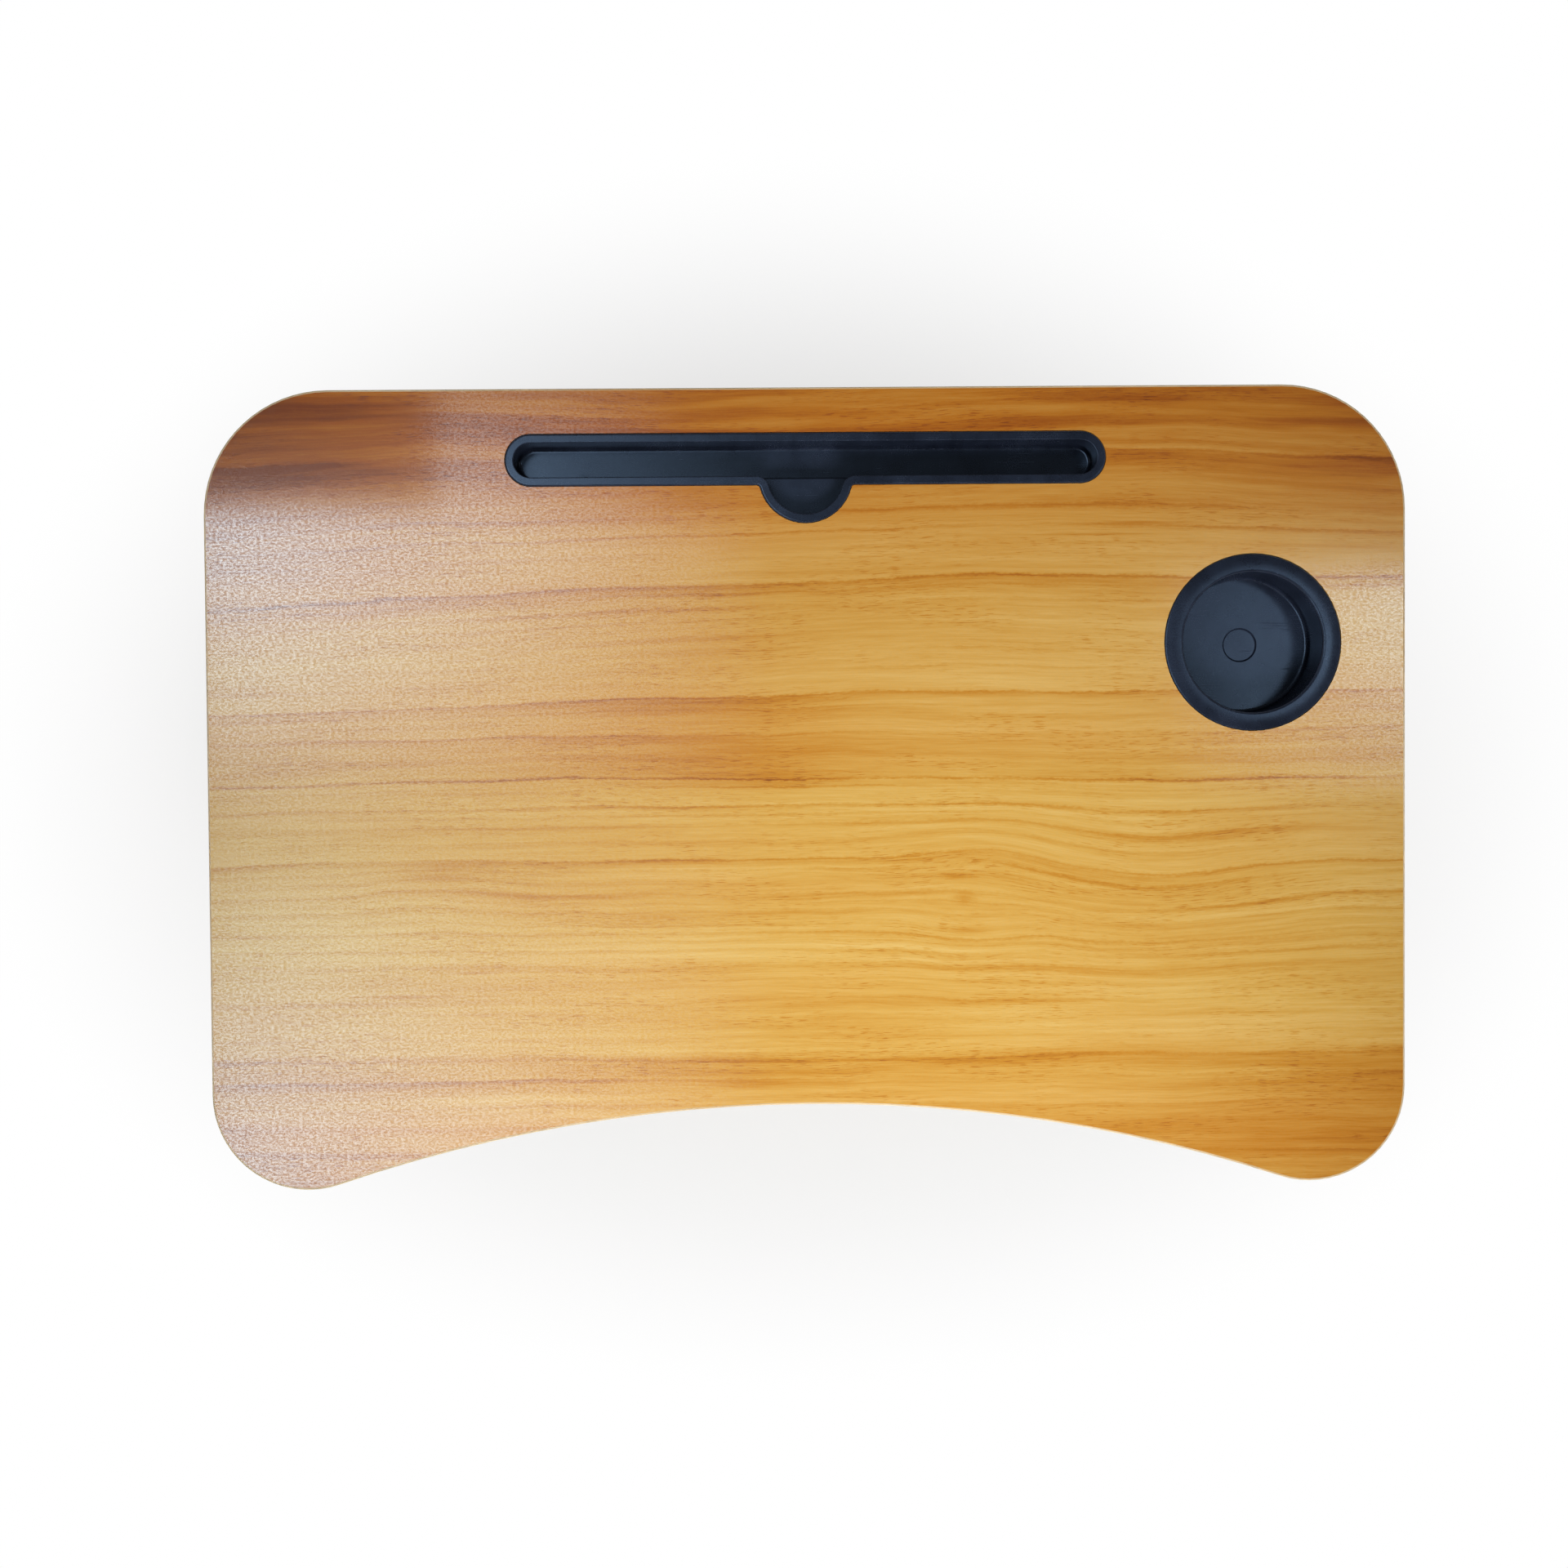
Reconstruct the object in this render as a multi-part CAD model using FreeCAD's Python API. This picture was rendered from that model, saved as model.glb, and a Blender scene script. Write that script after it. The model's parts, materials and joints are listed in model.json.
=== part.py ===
"""Folding laptop table: a laminated board on two fold-in tube legs, with a tablet slot and a cup holder.

Millimetres. +Z is up and +Y points to the rear edge, where the tablet slot is. The origin lies on the
floor below the middle of the board. The legs are open, lean outwards and stand on their rubber sleeves.
"""

import FreeCAD
import Part
import math
import os

V = FreeCAD.Vector

# Board
TABLE_HEIGHT = 280.0  # floor to working face
BOARD_WIDTH = 600.0
BOARD_DEPTH = 400.0
BOARD_THICKNESS = 12.0
REAR_CORNER_R = 62.0
FRONT_CORNER_R = 48.0
FRONT_ARC_RISE = 41.0  # how far the concave front edge cuts in at its middle
LAMINATE = 0.6
BACKING = 0.4
EDGE_BAND = 1.0
EDGE_BAND_ROUND = 0.6

# Inserts: what the tablet tray and the cup holder share
INSERT_WALL = 2.0
FLANGE = 2.4
FLANGE_PROUD = 0.8  # flange above the working face
FLANGE_ROUND = 1.0
FLANGE_CLEARANCE = 0.2  # flange to the side of its rebate
CUTOUT_CLEARANCE = 0.3  # insert wall to the board
POCKET_ROUND = 2.0  # floor to wall
LUG_WIDTH = 8.0  # snap lugs under the board
LUG_HEIGHT = 4.0
LUG_CATCH = 1.0  # lug beyond the edge of the cut-out

# Tablet tray
SLOT_LENGTH = 300.0
SLOT_WIDTH = 26.0
SLOT_FROM_REAR = 35.5  # slot's centre line to the rear edge
SLOT_RIM = 4.4
SLOT_DEPTH = 17.0
NOTCH_R = 23.5
NOTCH_REACH = 19.0  # notch beyond the slot's front side
NOTCH_DEPTH = 9.0
NOTCH_CORNER_R = 2.0
SLOT_LUG_X = 90.0  # lugs left and right of the middle

# Cup holder
CUP_FROM_RIGHT = 76.5  # cup's axis to the right edge
CUP_FROM_REAR = 128.5
CUP_FLANGE_R = 44.3
CUP_BORE_R = 35.0
CUP_DEPTH = 23.0
CUP_LIP_R = 1.4
CUP_CROWN = 0.5  # fall of the flange from its crest to its outer edge
CUP_DIMPLE_R = 8.8
CUP_DIMPLE_DEPTH = 0.8
CUP_LUGS = 4

# Hinge
HINGE_INSET = 38.0  # pin to the side edge of the board
HINGE_FROM_ENDS = 60.0  # middle of a hinge to the front or rear edge
PIN_DROP = 22.0  # pin below the board
PIN_R = 3.0
PIN_HEAD_R = 5.4
PIN_HEAD = 2.0
PIN_TAIL = 2.6
PIN_FIT = 0.03  # pin in the bracket
HINGE_FIT = 0.06  # knuckle on the pin
LEG_LEAN = 6.0  # degrees outwards when open
STOP_GAP = 0.3
SIDE_GAP = 0.3
NUT_R = 5.6
NUT = 1.2
NUT_DISH = 0.7  # middle of the nut away from the cheek
NUT_FIT = 0.02

# Hinge bracket
PLATE = 4.0
PLATE_INBOARD = 30.0
PLATE_OUTBOARD = 24.0
PLATE_HALF = 23.0
PLATE_CORNER_R = 7.0
PLATE_CHAMFER = 1.0
CHEEK = 4.0
CHEEK_INBOARD = 20.0
CHEEK_OUTBOARD = 16.0
CHEEK_BOSS_R = 10.5
CHEEK_ROUND = 1.2
GUSSET = 3.0
GUSSET_REACH = 7.0
GUSSET_DEPTH = 10.0
BRACKET_SCREW_INBOARD = 22.5
BRACKET_SCREW_OUTBOARD = 16.5
BRACKET_SCREW_HALF = 18.0

# Knuckle
KNUCKLE_SHOULDER = 1.0  # knuckle wider than the tube, each side
EYE_SHOULDER = 1.5  # eye's radius over the tube's
HEEL_REACH = 9.0  # stop heel outboard of the pin
CAM_SWEEP = 30.0  # degrees of round cam inboard of the heel
KNUCKLE_CHAMFER = 0.8
PLUG_LENGTH = 26.0
PLUG_FIT = 0.1
PLUG_CHAMFER = 1.5
RIVET_R = 2.0
RIVET_HEAD_R = 3.6
RIVET_HEAD = 1.4
RIVET_FIT = 0.05
RIVET_FROM_END = 13.0

# Leg
TUBE_R = 8.0
TUBE_WALL = 1.2
TUBE_START = 22.0  # pin to the tube's end
TUBE_BEND_R = 45.0
SLEEVE_WALL = 2.5
SLEEVE_FIT = 0.05
SLEEVE_FROM_BEND = 3.0
SLEEVE_FROM_MIDDLE = 28.0  # bare bar for the clip, each side of the middle
SLEEVE_ROUND = 1.2
SLEEVE_GROOVES = 4  # at each end
SLEEVE_GROOVE = 1.4
SLEEVE_GROOVE_DEPTH = 0.7
SLEEVE_GROOVE_PITCH = 3.0
SLEEVE_GROOVE_START = 4.0
SOLE_FLAT = 0.5  # rubber pressed flat on the floor

# Clip for a folded leg
CLIP_BASE = 3.0
CLIP_BASE_WIDTH = 24.0
CLIP_BASE_HALF = 25.0
CLIP_CORNER_R = 6.0
CLIP_CHAMFER = 0.8
CLIP_FILLET = 2.0
CLIP_WIDTH = 22.0
CLIP_WEB = 8.0
CLIP_ARM = 3.0
CLIP_GAP = 0.5
CLIP_GRIP = 4.0  # arms beyond the bar's centre
CLIP_SCREW_HALF = 18.0

# Screws
SCREW_R = 1.75
SCREW_IN_BOARD = 8.0
SCREW_POINT = 2.0
SCREW_HEAD_R = 3.6
SCREW_HEAD = 2.4
SCREW_HEAD_EDGE = 0.8
SCREW_CROSS_WIDTH = 0.9
SCREW_CROSS_LENGTH = 4.0
SCREW_CROSS_DEPTH = 1.2
SCREW_HOLE_CLEARANCE = 0.3  # in a bracket or clip
PILOT_FIT = 0.05  # in the board

# Levels and places that follow from the sizes
TOP = TABLE_HEIGHT
UNDERSIDE = TOP - BOARD_THICKNESS
FLANGE_TOP = TOP + FLANGE_PROUD
FLANGE_SEAT = FLANGE_TOP - FLANGE
PIN_X = BOARD_WIDTH / 2 - HINGE_INSET
PIN_Z = UNDERSIDE - PIN_DROP
LEG_HALF_WIDTH = BOARD_DEPTH / 2 - HINGE_FROM_ENDS
SLOT_Y = BOARD_DEPTH / 2 - SLOT_FROM_REAR
CUP_X = BOARD_WIDTH / 2 - CUP_FROM_RIGHT
CUP_Y = BOARD_DEPTH / 2 - CUP_FROM_REAR
CUP_WALL_R = CUP_BORE_R + INSERT_WALL
KNUCKLE_WIDTH = 2 * (TUBE_R + KNUCKLE_SHOULDER)
EYE_R = TUBE_R + EYE_SHOULDER
CHEEK_INNER = KNUCKLE_WIDTH / 2 + SIDE_GAP
CHEEK_OUTER = CHEEK_INNER + CHEEK
STOP_Z = PIN_DROP - PLATE - STOP_GAP  # heel's flat above the pin
SLEEVE_R = TUBE_R + SLEEVE_WALL
SLEEVE_LENGTH = LEG_HALF_WIDTH - TUBE_BEND_R - SLEEVE_FROM_BEND - SLEEVE_FROM_MIDDLE
SLEEVE_Y = SLEEVE_FROM_MIDDLE + SLEEVE_LENGTH / 2
LEG_LENGTH = (PIN_Z - SLEEVE_R + SOLE_FLAT) / math.cos(math.radians(LEG_LEAN))  # pin to bar
BAR_X = PIN_X - LEG_LENGTH  # bar of a folded leg
CORNER_X = BOARD_WIDTH / 2 - FRONT_CORNER_R
CORNER_Y = FRONT_CORNER_R - BOARD_DEPTH / 2
FRONT_ARC_R = (CORNER_X**2 / FRONT_ARC_RISE + FRONT_ARC_RISE) / 2 - FRONT_CORNER_R
FRONT_ARC_Y = FRONT_ARC_RISE - BOARD_DEPTH / 2 - FRONT_ARC_R
OVERSIZE = 1.0  # a cutting tool past the face that it cuts


# Shared helpers
def line(a, b):
    return Part.LineSegment(a, b).toShape()


def arc(a, middle, b):
    return Part.Arc(a, middle, b).toShape()


def at_angle(centre, radius, degrees):
    turn = math.radians(degrees)
    return centre + V(radius * math.cos(turn), radius * math.sin(turn), 0)


def prism(wire, low, high):
    """The area inside a flat wire at z = 0, from one height to another."""
    solid = Part.Face(wire).extrude(V(0, 0, high - low))
    solid.translate(V(0, 0, low))
    return solid


def block(x0, x1, y0, y1, z0, z1):
    return Part.makeBox(x1 - x0, y1 - y0, z1 - z0, V(x0, y0, z0))


def rounded_rectangle(x0, x1, y0, y1, r):
    edges = []
    corners = [(x1 - r, y1 - r, 0), (x0 + r, y1 - r, 90), (x0 + r, y0 + r, 180), (x1 - r, y0 + r, 270)]
    for k, (x, y, turn) in enumerate(corners):
        start, middle, end = (at_angle(V(x, y, 0), r, turn + part) for part in (0, 45, 90))
        following = corners[(k + 1) % len(corners)]
        edges.append(arc(start, middle, end))
        edges.append(line(end, at_angle(V(following[0], following[1], 0), r, following[2])))
    return Part.Wire(edges)


def side_profile(edges, half_width):
    """A profile drawn in X and Z as x and y, made a solid that is centred on y = 0."""
    solid = Part.Face(Part.Wire(edges)).extrude(V(0, 0, 2 * half_width))
    solid.translate(V(0, 0, -half_width))
    solid.rotate(V(0, 0, 0), V(1, 0, 0), 90)
    return solid


def tangent_point(outside, radius, side):
    """Where a line from a point touches a circle about the origin; side is 1 or -1."""
    reach = math.hypot(outside.x, outside.y)
    turn = math.atan2(outside.y, outside.x) + side * math.acos(radius / reach)
    return V(radius * math.cos(turn), radius * math.sin(turn), 0)


def turned(points, centre=None):
    """A solid of revolution about the vertical axis through centre, from a closed (r, z) profile.

    A point is (r, z), or (r, z, through_r, through_z) where the stretch that ends there is an arc.
    """
    edges = []
    place = [V(p[0], 0, p[1]) for p in points]
    for k, point in enumerate(points):
        start = place[k - 1]
        if len(point) == 4:
            edges.append(arc(start, V(point[2], 0, point[3]), place[k]))
        else:
            edges.append(line(start, place[k]))
    solid = Part.Face(Part.Wire(edges)).revolve(V(0, 0, 0), V(0, 0, 1), 360)
    if centre is not None:
        solid.translate(centre)
    return solid


def quarter(r, z, radius, start, end):
    """The end point and mid point of a round corner about (r, z), for turned()."""
    middle = math.radians((start + end) / 2)
    last = math.radians(end)
    return (
        r + radius * math.cos(last),
        z + radius * math.sin(last),
        r + radius * math.cos(middle),
        z + radius * math.sin(middle),
    )


def dome(r, z, height):
    """The crest of a round head on a rim of radius r at z, and a point on the way there, for turned()."""
    ball = (r**2 + height**2) / (2 * height)
    turn = math.asin(r / abs(ball)) / 2
    return (0, z + height, abs(ball) * math.sin(turn), z + height - ball * (1 - math.cos(turn)))


def edges_at(shape, test):
    return [edge for edge in shape.Edges if test(edge)]


def mirrored(shape):
    return shape.mirror(V(0, 0, 0), V(1, 0, 0))


# Board
def board_outline(inset=0.0):
    """The outline, or one drawn in from it: a straight rear edge, round corners and a concave front."""
    half = BOARD_WIDTH / 2 - inset
    rear = BOARD_DEPTH / 2 - inset
    rear_x = BOARD_WIDTH / 2 - REAR_CORNER_R
    rear_y = BOARD_DEPTH / 2 - REAR_CORNER_R
    rear_r = REAR_CORNER_R - inset
    front_r = FRONT_CORNER_R - inset
    # The front corners meet the concave arc where both have one tangent
    meeting = math.degrees(math.atan2(FRONT_ARC_Y - CORNER_Y, -CORNER_X))
    edges = [line(V(rear_x, rear, 0), V(-rear_x, rear, 0))]
    ends = {}
    for side in (-1, 1):
        rear_centre = V(side * rear_x, rear_y, 0)
        front_centre = V(side * CORNER_X, CORNER_Y, 0)
        to_rear, to_side = 90, 90 - side * 90
        inward = -90 + side * (meeting + 90)
        edges.append(
            arc(
                at_angle(rear_centre, rear_r, to_rear),
                at_angle(rear_centre, rear_r, (to_rear + to_side) / 2),
                at_angle(rear_centre, rear_r, to_side),
            )
        )
        edges.append(line(V(side * half, rear_y, 0), V(side * half, CORNER_Y, 0)))
        outward = 0 if side > 0 else -180
        ends[side] = at_angle(front_centre, front_r, inward)
        edges.append(
            arc(
                V(side * half, CORNER_Y, 0),
                at_angle(front_centre, front_r, (outward + inward) / 2),
                ends[side],
            )
        )
    edges.append(arc(ends[-1], V(0, FRONT_ARC_Y + FRONT_ARC_R + inset, 0), ends[1]))
    return Part.Wire(Part.__sortEdges__(edges))


def screw_places():
    """Where the bracket screws and the clip screws enter the board."""
    brackets, clips = [], []
    for side in (-1, 1):
        for row in (-1, 1):
            for along in (-BRACKET_SCREW_INBOARD, BRACKET_SCREW_OUTBOARD):
                for across in (-BRACKET_SCREW_HALF, BRACKET_SCREW_HALF):
                    brackets.append((side * (PIN_X + along), row * LEG_HALF_WIDTH + across))
            clips.append((side * BAR_X, row * CLIP_SCREW_HALF))
    return brackets, clips


def cut_for_inserts(layer):
    """A board layer with the rebates and through holes of the tablet tray and the cup holder."""
    above = TOP + OVERSIZE
    below = UNDERSIDE - OVERSIZE
    cup = V(CUP_X, CUP_Y, 0)
    tools = [
        prism(slot_outline(-FLANGE_CLEARANCE), FLANGE_SEAT, above),
        prism(slot_outline(SLOT_RIM - INSERT_WALL - CUTOUT_CLEARANCE), below, above),
        Part.makeCylinder(CUP_FLANGE_R + FLANGE_CLEARANCE, above - FLANGE_SEAT, cup + V(0, 0, FLANGE_SEAT)),
        Part.makeCylinder(CUP_WALL_R + CUTOUT_CLEARANCE, above - below, cup + V(0, 0, below)),
    ]
    return layer.cut(tools)


def cut_for_screws(layer):
    brackets, clips = screw_places()
    low = UNDERSIDE - OVERSIZE
    high = UNDERSIDE + SCREW_IN_BOARD + PILOT_FIT
    radius = SCREW_R + PILOT_FIT
    return layer.cut([Part.makeCylinder(radius, high - low, V(x, y, low)) for x, y in brackets + clips])


def board_layers():
    inner = board_outline(EDGE_BAND)
    core_low, core_high = UNDERSIDE + BACKING, TOP - LAMINATE
    core = cut_for_screws(cut_for_inserts(prism(inner, core_low, core_high)))
    laminate = cut_for_inserts(prism(inner, core_high, TOP))
    backing = cut_for_screws(cut_for_inserts(prism(inner, UNDERSIDE, core_low)))
    return core, laminate, backing


def edge_band():
    outer = prism(board_outline(), UNDERSIDE, TOP)
    rims = edges_at(outer, lambda e: abs(e.BoundBox.ZLength) < 1e-6)
    return outer.makeFillet(EDGE_BAND_ROUND, rims).cut(
        prism(board_outline(EDGE_BAND), UNDERSIDE - OVERSIZE, TOP + OVERSIZE)
    )


# Tablet tray
def slot_outline(inset=0.0, notch=True):
    """The round-ended slot with or without its finger notch, or that outline drawn in."""
    r = SLOT_WIDTH / 2 - inset
    end_x = SLOT_LENGTH / 2 - SLOT_WIDTH / 2
    rear, front = SLOT_Y + r, SLOT_Y - r
    edges = [
        line(V(-end_x, rear, 0), V(end_x, rear, 0)),
        arc(V(end_x, rear, 0), V(end_x + r, SLOT_Y, 0), V(end_x, front, 0)),
        arc(V(-end_x, front, 0), V(-end_x - r, SLOT_Y, 0), V(-end_x, rear, 0)),
    ]
    if not notch:
        edges.append(line(V(end_x, front, 0), V(-end_x, front, 0)))
        return Part.Wire(Part.__sortEdges__(edges))
    notch_y = SLOT_Y - SLOT_WIDTH / 2 - NOTCH_REACH + NOTCH_R
    notch_r = NOTCH_R - inset
    # A small round of opposite bend joins the notch to the slot's front side
    corner_y = SLOT_Y - SLOT_WIDTH / 2 - NOTCH_CORNER_R
    corner_x = math.sqrt((NOTCH_R + NOTCH_CORNER_R) ** 2 - (notch_y - corner_y) ** 2)
    corner_r = NOTCH_CORNER_R + inset
    turn = math.degrees(math.atan2(notch_y - corner_y, -corner_x))
    ends = {}
    for side in (-1, 1):
        corner = V(side * corner_x, corner_y, 0)
        inward = 90 + side * (turn - 90)
        ends[side] = at_angle(corner, corner_r, inward)
        edges.append(line(V(side * end_x, front, 0), V(side * corner_x, front, 0)))
        edges.append(
            arc(V(side * corner_x, front, 0), at_angle(corner, corner_r, (90 + inward) / 2), ends[side])
        )
    edges.append(arc(ends[-1], V(0, notch_y - notch_r, 0), ends[1]))
    return Part.Wire(Part.__sortEdges__(edges))


def lug(width, height, reach):
    """A snap lug that grows out of a wall at x = 0, flat on top at z = 0 and sloped below."""
    profile = [V(-INSERT_WALL / 2, 0, 0), V(reach, 0, 0), V(-INSERT_WALL / 2, -height, 0)]
    edges = [line(profile[k - 1], profile[k]) for k in range(len(profile))]
    return side_profile(edges, width / 2)


def media_slot_tray():
    """Flanged tray: a deep pocket for the tablet and a shallow notch for the finger."""
    wall = SLOT_RIM - INSERT_WALL
    floor, notch_floor = TOP - SLOT_DEPTH, TOP - NOTCH_DEPTH
    keel, notch_keel = floor - INSERT_WALL, notch_floor - INSERT_WALL
    flange = prism(slot_outline(), FLANGE_SEAT, FLANGE_TOP)
    flange = flange.makeFillet(FLANGE_ROUND, edges_at(flange, lambda e: e.BoundBox.ZMin > FLANGE_TOP - 1e-6))
    shallow = prism(slot_outline(wall), notch_keel, FLANGE_SEAT)
    deep = prism(slot_outline(wall, notch=False), keel, notch_keel)
    deep = deep.makeFillet(POCKET_ROUND, edges_at(deep, lambda e: e.BoundBox.ZMax < keel + 1e-6))
    tray = flange.fuse([shallow, deep]).removeSplitter()
    pocket = prism(slot_outline(SLOT_RIM, notch=False), floor, notch_floor)
    pocket = pocket.makeFillet(POCKET_ROUND, edges_at(pocket, lambda e: e.BoundBox.ZMax < floor + 1e-6))
    mouth = prism(slot_outline(SLOT_RIM), notch_floor, FLANGE_TOP + OVERSIZE)
    tray = tray.cut(pocket.fuse(mouth).removeSplitter())
    lips = edges_at(tray, lambda e: e.BoundBox.ZMin > FLANGE_TOP - 1e-6 and is_lip(e))
    tray = tray.makeFillet(FLANGE_ROUND / 2, lips)
    return tray.fuse(slot_lugs()).removeSplitter()


def is_lip(edge):
    """True for the edges where the tray's pocket opens, inside the rounded rim."""
    middle = edge.valueAt((edge.FirstParameter + edge.LastParameter) / 2)
    inside = Part.Face(slot_outline(SLOT_RIM / 2 + FLANGE_ROUND / 2))
    return inside.isInside(V(middle.x, middle.y, 0), 0.01, True)


def slot_lugs():
    lugs = []
    wall_y = SLOT_WIDTH / 2 - SLOT_RIM + INSERT_WALL
    reach = CUTOUT_CLEARANCE + LUG_CATCH
    for side in (-1, 1):
        for step in (-1, 1):
            piece = lug(LUG_WIDTH, LUG_HEIGHT, reach)
            piece.rotate(V(0, 0, 0), V(0, 0, 1), side * 90)
            piece.translate(V(step * SLOT_LUG_X, SLOT_Y + side * wall_y, UNDERSIDE))
            lugs.append(piece)
    return lugs


# Cup holder
def cup_holder():
    floor = TOP - CUP_DEPTH
    below = floor - INSERT_WALL
    lip_r = CUP_BORE_R + CUP_LIP_R
    edge_z = FLANGE_TOP - CUP_CROWN
    crown_r = (lip_r + CUP_FLANGE_R) / 2
    cup = turned(
        [
            (0, below),
            (CUP_WALL_R - POCKET_ROUND, below),
            quarter(CUP_WALL_R - POCKET_ROUND, below + POCKET_ROUND, POCKET_ROUND, -90, 0),
            (CUP_WALL_R, FLANGE_SEAT),
            (CUP_FLANGE_R, FLANGE_SEAT),
            (CUP_FLANGE_R, edge_z - FLANGE_ROUND),
            quarter(CUP_FLANGE_R - FLANGE_ROUND, edge_z - FLANGE_ROUND, FLANGE_ROUND, 0, 90),
            (lip_r, FLANGE_TOP, crown_r, FLANGE_TOP - CUP_CROWN / 4),
            quarter(lip_r, FLANGE_TOP - CUP_LIP_R, CUP_LIP_R, 90, 180),
            (CUP_BORE_R, floor + POCKET_ROUND),
            quarter(CUP_BORE_R - POCKET_ROUND, floor + POCKET_ROUND, POCKET_ROUND, 0, -90),
            (CUP_DIMPLE_R, floor),
            (CUP_DIMPLE_R - CUP_DIMPLE_DEPTH, floor - CUP_DIMPLE_DEPTH),
            (0, floor - CUP_DIMPLE_DEPTH),
        ],
        V(CUP_X, CUP_Y, 0),
    )
    lugs = []
    for k in range(CUP_LUGS):
        piece = lug(LUG_WIDTH, LUG_HEIGHT, CUTOUT_CLEARANCE + LUG_CATCH)
        piece.translate(V(CUP_WALL_R, 0, UNDERSIDE))
        piece.rotate(V(0, 0, 0), V(0, 0, 1), (k + 0.5) * 360 / CUP_LUGS)
        piece.translate(V(CUP_X, CUP_Y, 0))
        lugs.append(piece)
    return cup.fuse(lugs).removeSplitter()


# Hinges, drawn for the right side with the pin on the Y axis and +X outboard
def hinge_bracket():
    plate_low = PIN_DROP - PLATE
    plate = prism(
        rounded_rectangle(-PLATE_INBOARD, PLATE_OUTBOARD, -PLATE_HALF, PLATE_HALF, PLATE_CORNER_R),
        plate_low,
        PIN_DROP,
    )
    plate = plate.makeChamfer(
        PLATE_CHAMFER, edges_at(plate, lambda e: e.BoundBox.ZMax < plate_low + 1e-6)
    )
    inboard, outboard = V(-CHEEK_INBOARD, plate_low, 0), V(CHEEK_OUTBOARD, plate_low, 0)
    left = tangent_point(inboard, CHEEK_BOSS_R, 1)
    right = tangent_point(outboard, CHEEK_BOSS_R, -1)
    cheek_edges = [
        line(outboard, inboard),
        line(inboard, left),
        arc(left, V(0, -CHEEK_BOSS_R, 0), right),
        line(right, outboard),
    ]
    cheeks = []
    for side in (-1, 1):
        cheek = side_profile(cheek_edges, CHEEK / 2)
        cheek.translate(V(0, side * (CHEEK_INNER + CHEEK_OUTER) / 2, 0))
        outer_face = edges_at(cheek, lambda e: abs(e.CenterOfMass.y - side * CHEEK_OUTER) < 1e-6)
        rim = [edge for edge in outer_face if edge.BoundBox.ZMin < plate_low - 1e-6]
        cheeks.append(cheek.makeFillet(CHEEK_ROUND, rim))
        foot = CHEEK_OUTER + GUSSET_REACH
        corners = [
            V(0, side * CHEEK_OUTER, plate_low),
            V(0, side * foot, plate_low),
            V(0, side * CHEEK_OUTER, plate_low - GUSSET_DEPTH),
        ]
        rib = Part.Face(Part.makePolygon(corners + corners[:1])).extrude(V(GUSSET, 0, 0))
        rib.translate(V(-GUSSET / 2, 0, 0))
        cheeks.append(rib)
    bracket = plate.fuse(cheeks).removeSplitter()
    reach = 2 * PLATE_HALF
    holes = [Part.makeCylinder(PIN_R + PIN_FIT, reach, V(0, -reach / 2, 0), V(0, 1, 0))]
    for x in (-BRACKET_SCREW_INBOARD, BRACKET_SCREW_OUTBOARD):
        for y in (-BRACKET_SCREW_HALF, BRACKET_SCREW_HALF):
            start = V(x, y, plate_low - OVERSIZE)
            holes.append(Part.makeCylinder(SCREW_R + SCREW_HOLE_CLEARANCE, PLATE + 2 * OVERSIZE, start))
    return bracket.cut(holes)


def hinge_pin():
    """Round-headed pin on the Y axis: the head lies on one cheek and the tail stands out of the other."""
    pin = turned(
        [
            (0, -CHEEK_OUTER - PIN_TAIL),
            (PIN_R, -CHEEK_OUTER - PIN_TAIL),
            (PIN_R, CHEEK_OUTER),
            (PIN_HEAD_R, CHEEK_OUTER),
            dome(PIN_HEAD_R, CHEEK_OUTER, PIN_HEAD),
        ]
    )
    pin.rotate(V(0, 0, 0), V(1, 0, 0), -90)
    return pin


def push_nut():
    """Domed push-on nut on the pin's tail."""
    face = -CHEEK_OUTER
    bore = PIN_R + NUT_FIT
    nut = turned(
        [
            (bore, face - NUT - NUT_DISH),
            (bore, face - NUT_DISH),
            (NUT_R, face),
            (NUT_R, face - NUT),
        ]
    )
    nut.rotate(V(0, 0, 0), V(1, 0, 0), -90)
    return nut


def down_the_leg(shape):
    """Turns a shape that hangs straight down from the pin to the lean of the open right leg."""
    shape.rotate(V(0, 0, 0), V(0, 1, 0), -LEG_LEAN)
    return shape


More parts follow.
